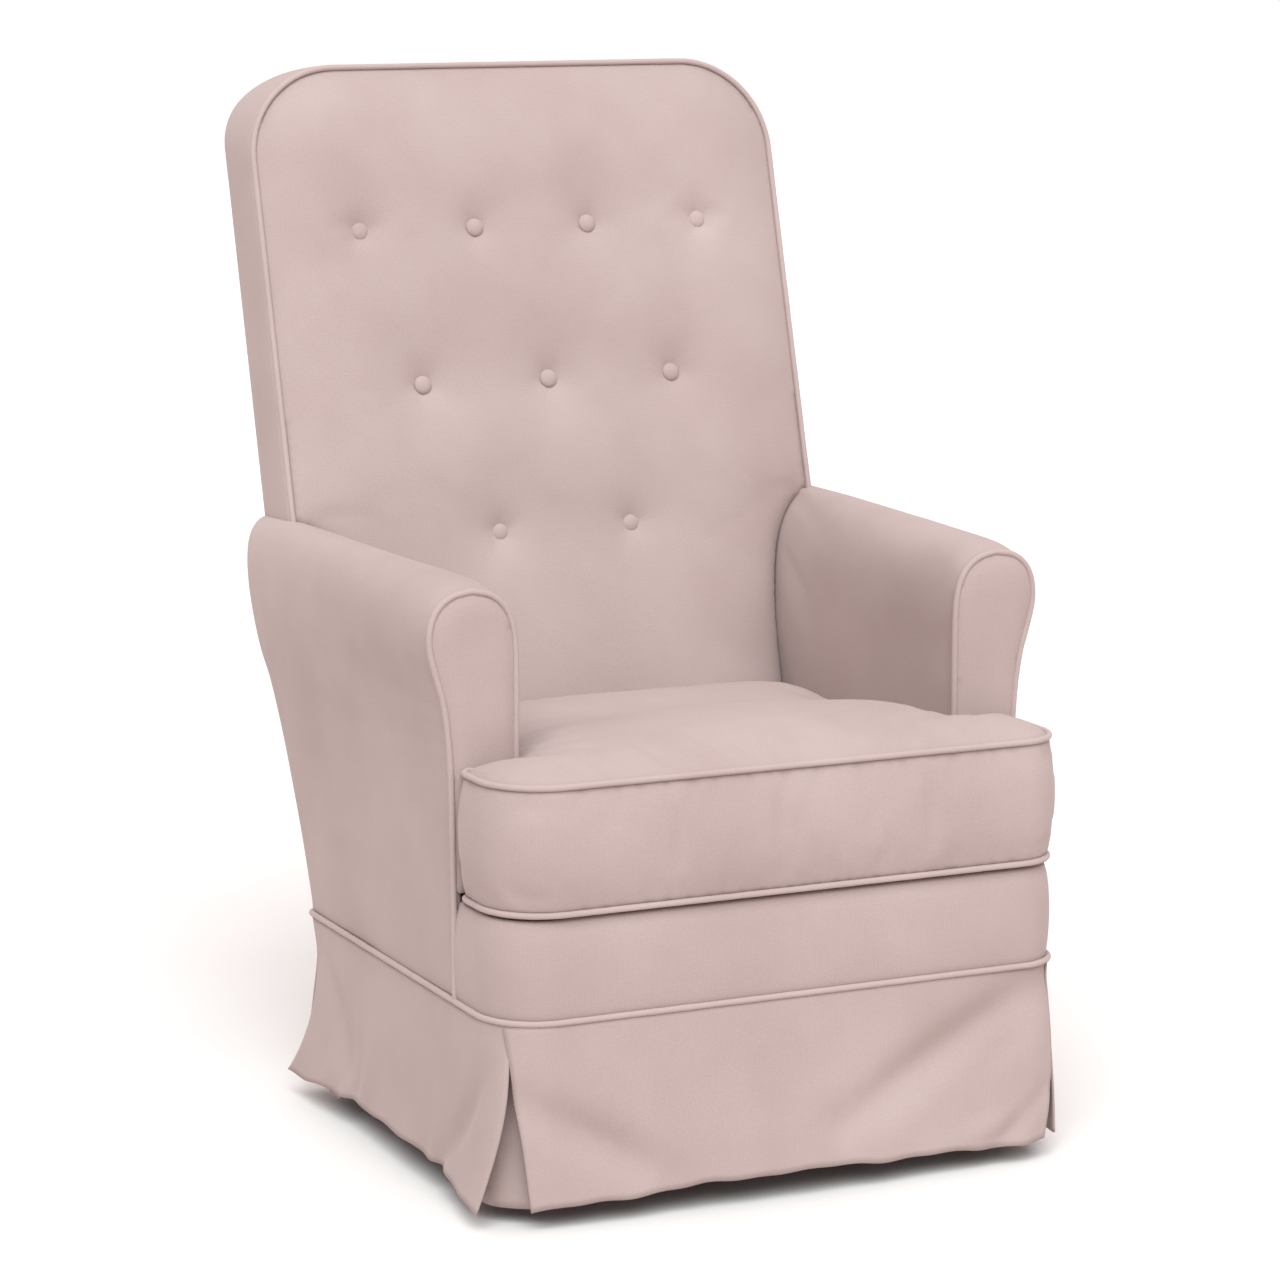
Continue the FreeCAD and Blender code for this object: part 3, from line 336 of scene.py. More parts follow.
def pinned_group(piece, near, reach):
    """Hold the points of a piece that are near given points, in millimetres."""
    group = piece.vertex_groups.new(name="held_seams")
    places = np.array([v.co for v in piece.data.vertices]) / MM
    held = np.zeros(len(places), bool)
    for line, closed in near:
        held |= edge_distance(places, np.array(line, float), closed) < reach
    group.add([int(i) for i in np.flatnonzero(held)], 1.0, "REPLACE")
    return group


def inflate(piece, near, limit, pressure=4.0, reach=0.6, slack=0.0, frames=20):
    """Press the filling out against a cover whose seams are held."""
    before = np.array([v.co for v in piece.data.vertices])
    pinned_group(piece, near, reach)
    cloth = piece.modifiers.new("filling", "CLOTH")
    cloth.settings.quality = 5
    cloth.settings.mass = 0.3
    cloth.settings.tension_stiffness = cloth.settings.compression_stiffness = 12
    cloth.settings.shear_stiffness = 6
    cloth.settings.bending_stiffness = 0.6
    cloth.settings.use_pressure = True
    cloth.settings.uniform_pressure_force = pressure
    cloth.settings.shrink_min = -slack
    cloth.settings.vertex_group_mass = "held_seams"
    cloth.settings.effector_weights.gravity = 0
    cloth.collision_settings.use_collision = False
    cloth.point_cache.frame_start = 1
    cloth.point_cache.frame_end = frames
    for number in range(1, frames + 1):
        bpy.context.scene.frame_set(number)
    swollen = piece.evaluated_get(bpy.context.evaluated_depsgraph_get())
    after = np.array([v.co for v in swollen.to_mesh().vertices])
    swollen.to_mesh_clear()
    piece.modifiers.remove(cloth)
    bpy.context.scene.frame_set(1)
    moved = after - before
    far = np.linalg.norm(moved, axis=1)
    scale = np.where(far > 1e-9, limit * MM * np.tanh(far / (limit * MM)) / np.maximum(far, 1e-9), 0)
    piece.data.vertices.foreach_set("co", (before + moved * scale[:, None]).ravel())
    piece.data.update()
    piece.vertex_groups.clear()
    print(f"{piece.name}: swelled up to {far.max() / MM:.1f} mm, kept {limit} mm")
    return piece


def ripple(points, size, depth, seed):
    """Gentle unevenness of a filled surface: one smooth random height for each point."""
    if points.shape[1] == 2:
        points = np.column_stack([points, np.zeros(len(points))])
    return np.array([noise.noise(Vector(p) / size + Vector((seed, 0, 0))) * depth for p in points])


# %% [markdown]
# ## The chair's working planes
# The back leans 15.65 degrees. Its panels are drawn on their own plane: across, up the slope and
# behind the piping, then turned into place. Reading the lean from the CAD panel keeps both in step.

# %% Read the lean from the CAD back
back_faces = NODES["outside_back_panel"].data.polygons
rear_face = max(back_faces, key=lambda f: f.area * (f.normal.y > 0.5))
LEAN = math.asin(-rear_face.normal.z)
SIN, COS = math.sin(LEAN), math.cos(LEAN)
BACK_Y, BACK_Z = 151, 472
print("the back leans", round(math.degrees(LEAN), 2), "degrees")


def on_back(x, up, behind):
    """A point given across, up the slope and behind the piping."""
    return (x, BACK_Y + up * SIN + behind * COS, BACK_Z + up * COS - behind * SIN)


def up_at(height):
    """How far up the slope the piping's plane reaches a height."""
    return (height - BACK_Z) / COS


def rear_y(height, behind):
    """How far back a plane behind the piping is at a height above the floor."""
    return BACK_Y + (height - BACK_Z) * SIN / COS + behind / COS


SEAT_SEAM_LOW, SEAT_SEAM_HIGH = 318, 445
WELT = 210
HALF, FRONT = 314, -377
RIGHT_CORNER, LEFT_CORNER = 60, 46   # front corner radii at the sitter's right and left

# %% [markdown]
# ## Seat cushion
# The loose cushion is T-shaped: its front corners, the ears, lie in front of the arms. It is two
# panels and a boxing strip, with a piped seam round each panel. The panels rise in a crown from
# their seams, and the boxing bows out. The pattern sets that shape, and the simulation adds the
# give of a real filling.

# %% Seat cushion
EAR, EAR_REAR = HALF - 4, -268
BETWEEN_ARMS, CUSHION_REAR = 245.5, 112
T_LINE = [(-EAR, EAR_REAR, 14), (-EAR, FRONT, RIGHT_CORNER + 2), (EAR + 3, FRONT, LEFT_CORNER),
          (EAR + 3, EAR_REAR, 14), (BETWEEN_ARMS, EAR_REAR, 10), (BETWEEN_ARMS, CUSHION_REAR, 26),
          (-BETWEEN_ARMS, CUSHION_REAR, 26), (-BETWEEN_ARMS, EAR_REAR, 10)]
CUSHION_STEP = 7.5


def ease(x):
    """A smooth change from 0 to 1."""
    x = np.clip(x, 0, 1)
    return x * x * (3 - 2 * x)


def seam_height(y, share):
    """A seam's height: share 1 is the top one, which dips where people sit, and 0 the bottom one."""
    top = SEAT_SEAM_HIGH - 26 * ease((y + 262) / 190)
    return SEAT_SEAM_LOW + share * (top - SEAT_SEAM_LOW)


def lean_in(y, height):
    """Draw the cushion's rear forward, to follow the leaning back."""
    return y - np.clip(y / CUSHION_REAR, 0, 1) * (SEAT_SEAM_HIGH - height) * SIN / COS


def cushion_ring(outline, share, bow=0.0):
    """The cushion's outline between its seams, bowed outwards: share 1 is the top seam."""
    following = np.roll(outline, -1, axis=0) - np.roll(outline, 1, axis=0)
    out = np.stack([following[:, 1], -following[:, 0]], axis=1)
    out /= np.linalg.norm(out, axis=1)[:, None]
    ring = outline + out * bow
    height = seam_height(outline[:, 1], share)
    return np.column_stack([ring[:, 0], lean_in(ring[:, 1], height), height])


def cushion_panel(outline, share, crown, reach, dome):
    """A top or bottom panel that rises from its seam."""
    flat, faces = fill(outline, CUSHION_STEP)
    depth = edge_distance(flat, outline)
    rise = crown * (1 - np.exp(-depth / reach)) + dome * np.clip(depth / 240, 0, 1)
    rise += ripple(flat, 70, 1.2, 3) * np.clip(depth / 30, 0, 1)
    height = seam_height(flat[:, 1], share)
    return panel(np.column_stack([flat[:, 0], lean_in(flat[:, 1], height), height + rise]), faces, flat)


t_line = rounded(T_LINE, CUSHION_STEP)
shares = np.linspace(1, 0, 18)
bows = 9 * np.sin(np.pi * shares) ** 0.7
cushion = outward(sew("seat_cushion_cover", [
    cushion_panel(t_line, 1, 23, 36, 5),
    strip([cushion_ring(t_line, a, b) for a, b in zip(shares, bows)], closed=True),
    turned(cushion_panel(t_line, 0, -4, 25, 0))], COVER))
seams = [cushion_ring(t_line, 1), cushion_ring(t_line, 0)]
inflate(cushion, [(ring, True) for ring in seams], 7, slack=0.01)
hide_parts("seat_cushion")
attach(cushion, "cushion")
print(face_count(cushion))

# %% [markdown]
# ## Tufted inside back
# The inside back is one padded panel, pulled in at nine covered buttons in rows of four, three and
# two. Away from its piped edge it stands 28 mm proud, and each button draws a soft funnel into it.
# Beside the arms the padding dives between arm and frame, which leaves a narrow valley there.

# %% Inside back
CROWN = 28
BUTTONS = [(x, height) for height, places in
           ((931, (-204, -68, 68, 204)), (765, (-150, 0, 150)), (604, (-79, 79))) for x in places]
BACK_TOP, BACK_HALF = 660, 310
FRONT_ROUND, REAR_ROUND, BOXING_DEPTH = 102, 68, 72   # the back's corner radii and its depth


def arm_seam(shrink):
    """Where the back's face meets the arm, from the top of the roll down to the seat."""
    knots = [(310, 630), (301, 627), (281, 608), (266, 582), (256, 544), (250, 489), (249, 420), (249, 314)]
    return [(x + shrink, up_at(z)) for x, z in smooth_line(knots, 46)]


side = arm_seam(2)
top = rounded([(-BACK_HALF, up_at(640), 0), (-BACK_HALF, BACK_TOP, 100), (BACK_HALF, BACK_TOP, 100),
               (BACK_HALF, up_at(640), 0)], 7.5, closed=False)
back_line = np.vstack([top, even(np.array(side), 7.5),
                       even(np.array([(x, side[-1][1]) for x in (240, -240)]), 7.5),
                       even(np.array([(-x, up) for x, up in reversed(side)]), 7.5)])
flat, faces = fill(back_line, 7.5, [(x, up_at(z)) for x, z in BUTTONS])
from_piping = edge_distance(flat, top, closed=False)
from_arms = edge_distance(flat, back_line)
crown = (1 - np.exp(-from_piping / 42)) * (1 - np.exp(-from_arms / 13))
stand = CROWN * crown + 5 * np.exp(-((flat[:, 1] - up_at(520)) / 130) ** 2) * (1 - np.exp(-from_arms / 40))
for x, height in BUTTONS:
    reach = np.hypot(flat[:, 0] - x, flat[:, 1] - up_at(height))
    round_it = np.arctan2(flat[:, 1] - up_at(height), flat[:, 0] - x)
    stand -= 17 * np.exp(-reach / 23) + 3.5 * np.exp(-(reach / 62) ** 2)
    stand += 0.7 * np.sin(5 * round_it + x) * (reach / 18) * np.exp(-reach / 18)
stand += ripple(flat, 90, 1.6, 11) * crown
face = panel([on_back(x, up, -s) for (x, up), s in zip(flat, stand)], faces, flat)
back_rows = [[on_back(x, up, w) for x, up in back_line] for w in (0, 5, 10)]
lining = panel([on_back(x, up, 10) for x, up in flat], faces, flat)
inside_back = outward(sew("inside_back_tufted", [face, strip(back_rows, closed=True), turned(lining)], COVER))
held = [(np.array(back_rows[0]), True), (np.array(back_rows[2]), True)]
for x, height in BUTTONS:
    ring = [on_back(x + 9 * math.cos(a), up_at(height) + 9 * math.sin(a), -17)
            for a in np.arange(0, 6.28, 0.5)]
    held.append((np.array(ring), True))
inflate(inside_back, held, 5, reach=5)
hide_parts("back_pad")
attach(inside_back, "seat")
print(face_count(inside_back))

# %% [markdown]
# ## Back boxing and outside back
# A boxing band joins the front seam to the outside back. The front corners are rounder than the rear
# ones, so the band is ruled between two outlines divided alike: sides, corners and top each get the
# same number of points on both.

# %% Back boxing and outside back


def arch(half, top, radius, low, sides=60, corner=16, across=70):
    """Half the back's outline and its mirror image: up one side, over and down the other."""
    left = np.column_stack([np.full(sides, -half), np.linspace(low, top - radius, sides)])
    turn = np.linspace(math.pi, math.pi / 2, corner + 2)[1:-1]
    bend = np.column_stack([radius - half + radius * np.cos(turn), top - radius + radius * np.sin(turn)])
    level = np.column_stack([np.linspace(radius - half, half - radius, across), np.full(across, top)])
    mirror = np.vstack([left, bend])[::-1] * (-1, 1)
    return np.vstack([left, bend, level, mirror])


def boxing_rows(low, behind):
    """Rows of the back's boxing, from the piping to the outside back."""
    rows = []
    for w in behind:
        share = w / behind[-1]
        line = arch(BACK_HALF + 2 * share, BACK_TOP - share,
                    FRONT_ROUND + (REAR_ROUND - FRONT_ROUND) * share, low)
        middle = np.array([0, 300])
        out = (line - middle) / np.linalg.norm(line - middle, axis=1)[:, None]
        line = line + out * 5 * math.sin(math.pi * share) ** 0.8
        rows.append([on_back(x, up, w) for x, up in line])
    return rows


boxing = sew("back_boxing", [strip(boxing_rows(up_at(500), np.linspace(0, BOXING_DEPTH, 13)))], COVER)
middle_face = boxing.data.polygons[len(boxing.data.polygons) // 2]
if middle_face.normal.z < 0:
    boxing.data.flip_normals()
thicken(boxing, 5)
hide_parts("back_border")
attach(boxing, "seat")

rear_line = even(arch(BACK_HALF + 2, BACK_TOP - 1, REAR_ROUND, up_at(206) + 20), 9, closed=True)
flat, faces = fill(rear_line, 9)
depth = edge_distance(flat, rear_line)
puff = 70 + 7 * (1 - np.exp(-depth / 16))
puff += ripple(flat, 120, 1.0, 21) * np.clip(depth / 40, 0, 1)
outside_back = outward(sew("outside_back", [
    turned(panel([on_back(x, up, w) for (x, up), w in zip(flat, puff)], faces, flat)),
    strip([[on_back(x, up, w) for x, up in rear_line] for w in (64, 67, 70)], closed=True),
    panel([on_back(x, up, 64) for x, up in flat], faces, flat)], COVER))
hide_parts("outside_back_panel")
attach(outside_back, "seat")
print(face_count(boxing), "/", face_count(outside_back))

# %% [markdown]
# ## Rolled arms
# One cover runs from the seat, up inside the arm, over the roll and down outside to the skirt's
# welt. Its profile is fuller at the rear than at the facing, so the arm is lofted between the two.
# On the inside it stops at the back's face. Outside it runs on, turns round the back's rear edge
# and closes there.

# %% Arm covers
ARM_FRONT = -260
ARM_ROWS, ARM_TURN = 56, 13   # rows from facing to back, and the radius of the turn behind the back
FRONT_INNER = [(252, 316), (252, 380), (251.5, 450), (251, 511), (252, 572), (260, 601), (276, 616),
               (296, 621)]
FRONT_OUTER = [(296, 621), (316, 617), (331, 605), (338, 586), (338, 566), (333, 545), (323, 507),
               (317, 446), (315, 334), (314, 209)]
REAR_INNER = [(250, 316), (249, 380), (249, 430), (250, 489), (257, 544), (267, 582), (282, 609), (303, 629)]
REAR_OUTER = [(303, 629), (324, 629), (339, 614), (346, 590), (348, 557), (346, 521), (342, 489),
              (335, 457), (328, 404), (323, 351), (318, 287), (314, 209)]


def arm_profile(inner, outer):
    """The arm's cross-section as one line, divided the same way every time."""
    return np.vstack([smooth_line(inner, 52)[:-1], smooth_line(outer, 76)])


def roll_share(line):
    """Where the roll swells above its facing: upwards most, outwards a little."""
    high = ease((line[:, 1] - 545) / 60)
    out = np.clip((line[:, 0] - 295) / 43, -0.3, 1) * 0.35 * ease((line[:, 1] - 500) / 60)
    return np.column_stack([out, high])


def arm_rows(sign):
    """Rows of points over the arm, from its facing to behind the back."""
    first, last = arm_profile(FRONT_INNER, FRONT_OUTER), arm_profile(REAR_INNER, REAR_OUTER)
    beyond = np.clip((np.arange(len(first)) - 50) / 4, 0, 1)
    rows = []
    for t in np.linspace(0, 1, ARM_ROWS) ** 1.3:
        line = first * (1 - ease(t)) + last * ease(t)
        end = rear_y(line[:, 1], 4) * (1 - beyond) + rear_y(line[:, 1], BOXING_DEPTH + 1 - ARM_TURN) * beyond
        full = 12 * (1 - t * t) * (1 - math.exp(-t * 420 / 13))
        line = line + roll_share(line) * full
        rows.append(np.column_stack([line[:, 0], ARM_FRONT + t * (end - ARM_FRONT), line[:, 1]]))
    following = np.gradient(last, axis=0)
    into = np.stack([following[:, 1], -following[:, 0]], axis=1)
    into /= np.linalg.norm(into, axis=1)[:, None]
    into = np.where(beyond[:, None] > 0, into, into * 0.3)
    rear = rows[-1][:, 1]
    for a in np.linspace(0, math.pi / 2, 7)[1:]:
        line = last + into * ARM_TURN * (1 - math.cos(a))
        end = rear + ARM_TURN * math.sin(a) * beyond
        rows.append(np.column_stack([line[:, 0], end, line[:, 1]]))
    turned_edge = rows[-1]
    inner = turned_edge.copy()
    inner[:, 0] = np.where(beyond > 0, np.minimum(inner[:, 0], 300), inner[:, 0])
    for share in (0.3, 0.7, 1.0):
        rows.append(turned_edge * (1 - share) + inner * share)
    rows = np.array(rows)
    rows[..., 0] *= sign
    return rows


def arm_cover(side, sign):
    """One arm's cover, swelled and given its thickness."""
    rows = arm_rows(sign)
    bulge = ripple(rows.reshape(-1, 3), 85, 1.3, 31).reshape(rows.shape[:2])
    number = np.arange(len(rows))[:, None]
    rows[..., 0] += sign * bulge * np.clip(number / 8, 0, 1) * np.clip((ARM_ROWS - number) / 8, 0, 1)
    piece = sew(f"arm_cover_{side}", [strip(rows)], COVER)
    outermost = max(piece.data.polygons, key=lambda f: sign * f.center.x + (0.2 if f.center.z < 0.5 else 0))
    if outermost.normal.x * sign < 0:
        piece.data.flip_normals()
    fixed = [(rows[0], False), (rows[:, 0], False), (rows[:, -1], False)] + \
        [(row, False) for row in rows[ARM_ROWS - 2:]]
    inflate(piece, fixed, 4, pressure=2.5)
    return thicken(piece, 6)


arms = {}
for side, sign in (("left", 1), ("right", -1)):
    arms[side] = arm_cover(side, sign)
    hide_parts(f"arm_pad_{side}", f"outside_arm_{side}")
    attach(arms[side], "seat")
print(face_count(arms["left"]), "/", face_count(arms["right"]))

# %% [markdown]
# ## Arm facings
# A facing closes each arm's front. It is a thin padded board covered in the same cloth and set inside
# the piping, so its face is almost flat and rolls back at its edge.

# %% Facings
FACING_LOW = 317


def facing_line():
    """The front profile above the cushion's underside, closed across the bottom."""
    line = arm_profile(FRONT_INNER, FRONT_OUTER)
    line = line[line[:, 1] > FACING_LOW]
    return even(line, 6, closed=True)


def facing(side, sign):
    """One padded facing: a bulged front, a narrow edge and a flat rear."""
    outline = facing_line() * (sign, 1)
    flat, faces = fill(outline, 6)
    depth = edge_distance(flat, outline)
    front = ARM_FRONT - 2 - 6 * (1 - np.exp(-depth / 9))
    front -= ripple(flat, 60, 0.8, 41)
    spread = [np.column_stack([outline[:, 0], np.full(len(outline), y), outline[:, 1]])
              for y in (ARM_FRONT - 2, ARM_FRONT, ARM_FRONT + 2)]
    return outward(sew(f"arm_facing_cover_{side}", [
        panel(np.column_stack([flat[:, 0], front, flat[:, 1]]), faces, flat),
        strip(spread, closed=True),
        turned(panel(np.column_stack([flat[:, 0], np.full(len(flat), ARM_FRONT + 2.0), flat[:, 1]]),
                     faces, flat))], COVER))


for side, sign in (("left", 1), ("right", -1)):
    piece = facing(side, sign)
    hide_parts(f"arm_facing_{side}")
    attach(piece, "seat")
    print(face_count(piece))

# %% [markdown]
# ## Front border
# The band under the cushion is tacked over a layer of wadding, so it swells a few millimetres
# between the welt and its top edge, and it wraps round both front corners to the arms.

# %% Front border
border_plan = rounded([(-HALF, ARM_FRONT - 1, 0), (-HALF, FRONT, RIGHT_CORNER),
                       (HALF + 1, FRONT, LEFT_CORNER), (HALF, ARM_FRONT - 1, 0)], 7, closed=False)


def offset_plan(plan, out):
    """A plan line moved outwards, away from the middle of the chair."""
    along = np.gradient(plan, axis=0)
    normal = np.stack([along[:, 1], -along[:, 0]], axis=1)
    normal /= np.linalg.norm(normal, axis=1)[:, None]
    facing_out = np.sign((normal * (plan - np.array([0, -150.0]))).sum())
    return plan + normal * out * facing_out


border_rows = []
for z in np.linspace(206, 306, 15):
    share = (z - 206) / 100
    line = offset_plan(border_plan, -1 + 5.5 * math.sin(math.pi * share) ** 0.6)
    border_rows.append(np.column_stack([line, np.full(len(line), z)]))
for a in np.linspace(0, math.pi / 2, 6)[1:]:
    line = offset_plan(border_plan, -1 - 6 * (1 - math.cos(a)))
    border_rows.append(np.column_stack([line, np.full(len(line), 306 + 6 * math.sin(a))]))
border = sew("front_border_cover", [strip(border_rows)], COVER)
front_face = min(border.data.polygons, key=lambda f: f.center.y)
if front_face.normal.y > 0:
    border.data.flip_normals()
thicken(border, 6)
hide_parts("front_border")
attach(border, "seat")
print(face_count(border))

# %% [markdown]
# ## Piping
# Piping is a cord in a bias-cut strip, sewn into a seam. A curve with a bevel would do for one seam.
# Geometry Nodes do every seam alike: the tree takes any line of edges, turns it to a curve, wraps a
# tube of the named radius round it, and writes a flat pattern for the weave, lengthwise and round.

# %% Geometry Nodes helpers


def new_tree(name, *sizes):
    """A node tree that takes a shape and named sizes, and gives a shape back."""
    tree = bpy.data.node_groups.new(name, "GeometryNodeTree")
    tree.interface.new_socket("Geometry", in_out="INPUT", socket_type="NodeSocketGeometry")
    for label, kind, value in sizes:
        socket = tree.interface.new_socket(label, in_out="INPUT", socket_type="NodeSocket" + kind)
        if value is not None:
            socket.default_value = value
    tree.interface.new_socket("Geometry", in_out="OUTPUT", socket_type="NodeSocketGeometry")
    return tree, tree.nodes.new("NodeGroupInput"), tree.nodes.new("NodeGroupOutput")


def grow(name, tree, base, **values):
    """Run a tree over a base mesh and keep the result as a plain mesh."""
    seed = bpy.data.objects.new(name + "_seed", base)
    bpy.context.scene.collection.objects.link(seed)
    run = seed.modifiers.new("grow", "NODES")
    run.node_group = tree
    for item in tree.interface.items_tree:
        label = item.name.replace(" ", "_")
        if item.item_type == "SOCKET" and item.in_out == "INPUT" and label in values:
            run[item.identifier] = values[label]
    evaluated = seed.evaluated_get(bpy.context.evaluated_depsgraph_get())
    mesh = bpy.data.meshes.new_from_object(evaluated)
    seed.modifiers.remove(run)
    bpy.data.objects.remove(seed)
    mesh.name = name
    piece = bpy.data.objects.new(name, mesh)
    bpy.context.scene.collection.objects.link(piece)
    return piece


def wire(lines):
    """A mesh of edges along lines of points, each given as (points, closed), in millimetres."""
    points, edges = [], []
    for line, closed in lines:
        first = len(points)
        points += [tuple(np.array(p) * MM) for p in line]
        edges += [(first + i, first + i + 1) for i in range(len(line) - 1)]
        if closed:
            edges.append((len(points) - 1, first))
    mesh = bpy.data.meshes.new("seam_line")
    mesh.from_pydata(points, edges, [])
    return mesh


# %% The piping tree
tree, given, result = new_tree("Piping", ("Cord Radius", "Float", 0.0032), ("Sides", "Int", 12),
                               ("Pucker", "Float", 0.0002), ("Cloth", "Material", None))
curve = add_node(tree, "GeometryNodeMeshToCurve", Mesh=given.outputs["Geometry"])
curve = add_node(tree, "GeometryNodeResampleCurve", {"mode": "LENGTH"}, Curve=curve.outputs["Curve"],
                 Length=0.004)
length = add_node(tree, "GeometryNodeSplineParameter")
path = add_node(tree, "GeometryNodeCaptureAttribute", Geometry=curve.outputs["Curve"])
path.capture_items.new("FLOAT", "Along")
tree.links.new(length.outputs["Length"], path.inputs["Along"])
section = add_node(tree, "GeometryNodeCurvePrimitiveCircle", Resolution=given.outputs["Sides"],
                   Radius=given.outputs["Cord Radius"])
spin = add_node(tree, "GeometryNodeCaptureAttribute", Geometry=section.outputs["Curve"])
spin.capture_items.new("FLOAT", "Round")
tree.links.new(length.outputs["Length"], spin.inputs["Round"])
tube = add_node(tree, "GeometryNodeCurveToMesh", Curve=path.outputs["Geometry"],
                Profile_Curve=spin.outputs["Geometry"], Fill_Caps=True)
pattern = add_node(tree, "ShaderNodeCombineXYZ", X=path.outputs["Along"], Y=spin.outputs["Round"])
stored = add_node(tree, "GeometryNodeStoreNamedAttribute", {"data_type": "FLOAT2", "domain": "CORNER"},
                  Geometry=tube.outputs["Mesh"], Name="UVMap", Value=pattern.outputs["Vector"])
uneven = add_node(tree, "ShaderNodeTexNoise", Scale=60.0, Detail=1.0)
centred = add_node(tree, "ShaderNodeMath", {"operation": "SUBTRACT"}, _0=uneven.outputs["Fac"], _1=0.5)
pushed = add_node(tree, "ShaderNodeMath", {"operation": "MULTIPLY"}, _0=centred.outputs["Value"],
                  _1=given.outputs["Pucker"])
normal = add_node(tree, "GeometryNodeInputNormal")
shift = add_node(tree, "ShaderNodeVectorMath", {"operation": "SCALE"}, Vector=normal.outputs["Normal"],
                 Scale=pushed.outputs["Value"])
moved = add_node(tree, "GeometryNodeSetPosition", Geometry=stored.outputs["Geometry"],
                 Offset=shift.outputs["Vector"])
soft = add_node(tree, "GeometryNodeSetShadeSmooth", Geometry=moved.outputs["Geometry"])
real = add_node(tree, "GeometryNodeRealizeInstances", Geometry=soft.outputs["Geometry"])
cloth = add_node(tree, "GeometryNodeSetMaterial", Geometry=real.outputs["Geometry"],
                 Material=given.outputs["Cloth"])
tree.links.new(cloth.outputs["Geometry"], result.inputs["Geometry"])
PIPING = tree
CORD = 3.2


def piping(name, lines, body):
    """Piping along seams, each given as (points, closed)."""
    piece = grow(name, PIPING, wire(lines), Cord_Radius=CORD * MM, Sides=12, Pucker=0.0006,
                 Cloth=PIPE_COVER)
    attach(piece, body)
    print(face_count(piece))
    return piece


# %% [markdown]
# ## Every seam that is piped
# The cushion's two seams, the back's front edge, each facing and the skirt's welt. The facing's piping
# runs up from the seat, over the roll, and down the outside to the welt.

# %% Piping on the chair
piping("cushion_piping", [
    (cushion_ring(t_line, 1, CORD * 0.8), True), (cushion_ring(t_line, 0, CORD * 0.8), True)], "cushion")

back_seam = arch(BACK_HALF + CORD * 0.7, BACK_TOP + CORD * 0.7, FRONT_ROUND, up_at(612))
piping("back_piping", [([on_back(x, up, -1) for x, up in back_seam], False)], "seat")

facing_seams = []
for sign in (1, -1):
    line = arm_profile(FRONT_INNER, FRONT_OUTER)
    along = np.gradient(line, axis=0)
    out = np.stack([-along[:, 1], along[:, 0]], axis=1)
    out /= np.linalg.norm(out, axis=1)[:, None]
    line = line + out * CORD * 0.75
    facing_seams.append((np.column_stack([line[:, 0] * sign, np.full(len(line), ARM_FRONT - 1.5),
                                          line[:, 1]]), False))
piping("facing_piping", facing_seams, "seat")

welt_plan = rounded([(-HALF - 3, 154, 14), (-HALF - 3, FRONT - 3, RIGHT_CORNER + 2),
                     (HALF + 4, FRONT - 3, LEFT_CORNER + 2), (HALF + 4, 154, 14)], 6)
skirt_welt = piping("skirt_welt", [(np.column_stack([welt_plan, np.full(len(welt_plan), WELT)]), True)],
                    "seat")
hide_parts("body_piping")

# %% [markdown]
# ## Covered buttons
# A covered button is a domed metal shell with cloth drawn over it. One button is modelled in the tree
# as a flattened sphere, then set at each tufting point, turned to the back's slope.

# %% Buttons
tree, given, result = new_tree("Covered buttons", ("Button Radius", "Float", 0.01),
                               ("Dome", "Float", 0.005), ("Lean", "Float", 0.0),
                               ("Cloth", "Material", None))
ball = add_node(tree, "GeometryNodeMeshUVSphere", Segments=28, Rings=14, Radius=1.0)
size = add_node(tree, "ShaderNodeCombineXYZ", X=given.outputs["Button Radius"],
                Y=given.outputs["Dome"], Z=given.outputs["Button Radius"])
turn = add_node(tree, "ShaderNodeMath", {"operation": "MULTIPLY"}, _0=given.outputs["Lean"], _1=-1.0)
slope = add_node(tree, "ShaderNodeCombineXYZ", X=turn.outputs["Value"])
shaped = add_node(tree, "GeometryNodeTransform", Geometry=ball.outputs["Mesh"], Scale=size.outputs["Vector"])
button = add_node(tree, "GeometryNodeTransform", Geometry=shaped.outputs["Geometry"],
                  Rotation=slope.outputs["Vector"])
places = add_node(tree, "GeometryNodeInstanceOnPoints", Points=given.outputs["Geometry"],
                  Instance=button.outputs["Geometry"])
real = add_node(tree, "GeometryNodeRealizeInstances", Geometry=places.outputs["Instances"])
soft = add_node(tree, "GeometryNodeSetShadeSmooth", Geometry=real.outputs["Geometry"])
where = add_node(tree, "GeometryNodeInputPosition")
split = add_node(tree, "ShaderNodeSeparateXYZ", Vector=where.outputs["Position"])
across = add_node(tree, "ShaderNodeCombineXYZ", X=split.outputs["X"], Y=split.outputs["Z"])
stored = add_node(tree, "GeometryNodeStoreNamedAttribute", {"data_type": "FLOAT2", "domain": "CORNER"},
                  Geometry=soft.outputs["Geometry"], Name="UVMap", Value=across.outputs["Vector"])
cloth = add_node(tree, "GeometryNodeSetMaterial", Geometry=stored.outputs["Geometry"],
                 Material=given.outputs["Cloth"])
tree.links.new(cloth.outputs["Geometry"], result.inputs["Geometry"])

button_points = wire([([on_back(x, up_at(height), -13.5)], False) for x, height in BUTTONS])
buttons = grow("tufting_buttons", tree, button_points, Button_Radius=0.0102, Dome=0.0048, Lean=LEAN,
               Cloth=COVER)
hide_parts("back_buttons")
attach(buttons, "seat")
print(face_count(buttons))

# %% [markdown]
# ## Skirt
# Four lined panels hang from the welt, each with a soft flare at its ends where the kick pleats
# open, and a slightly uneven hem. Cloth this short barely drapes, so its folds are set down as
# shallow valleys along straight lines, the way a cutter would describe them, and the hem wanders.
# Behind each corner an underlay closes the gap between two panels.

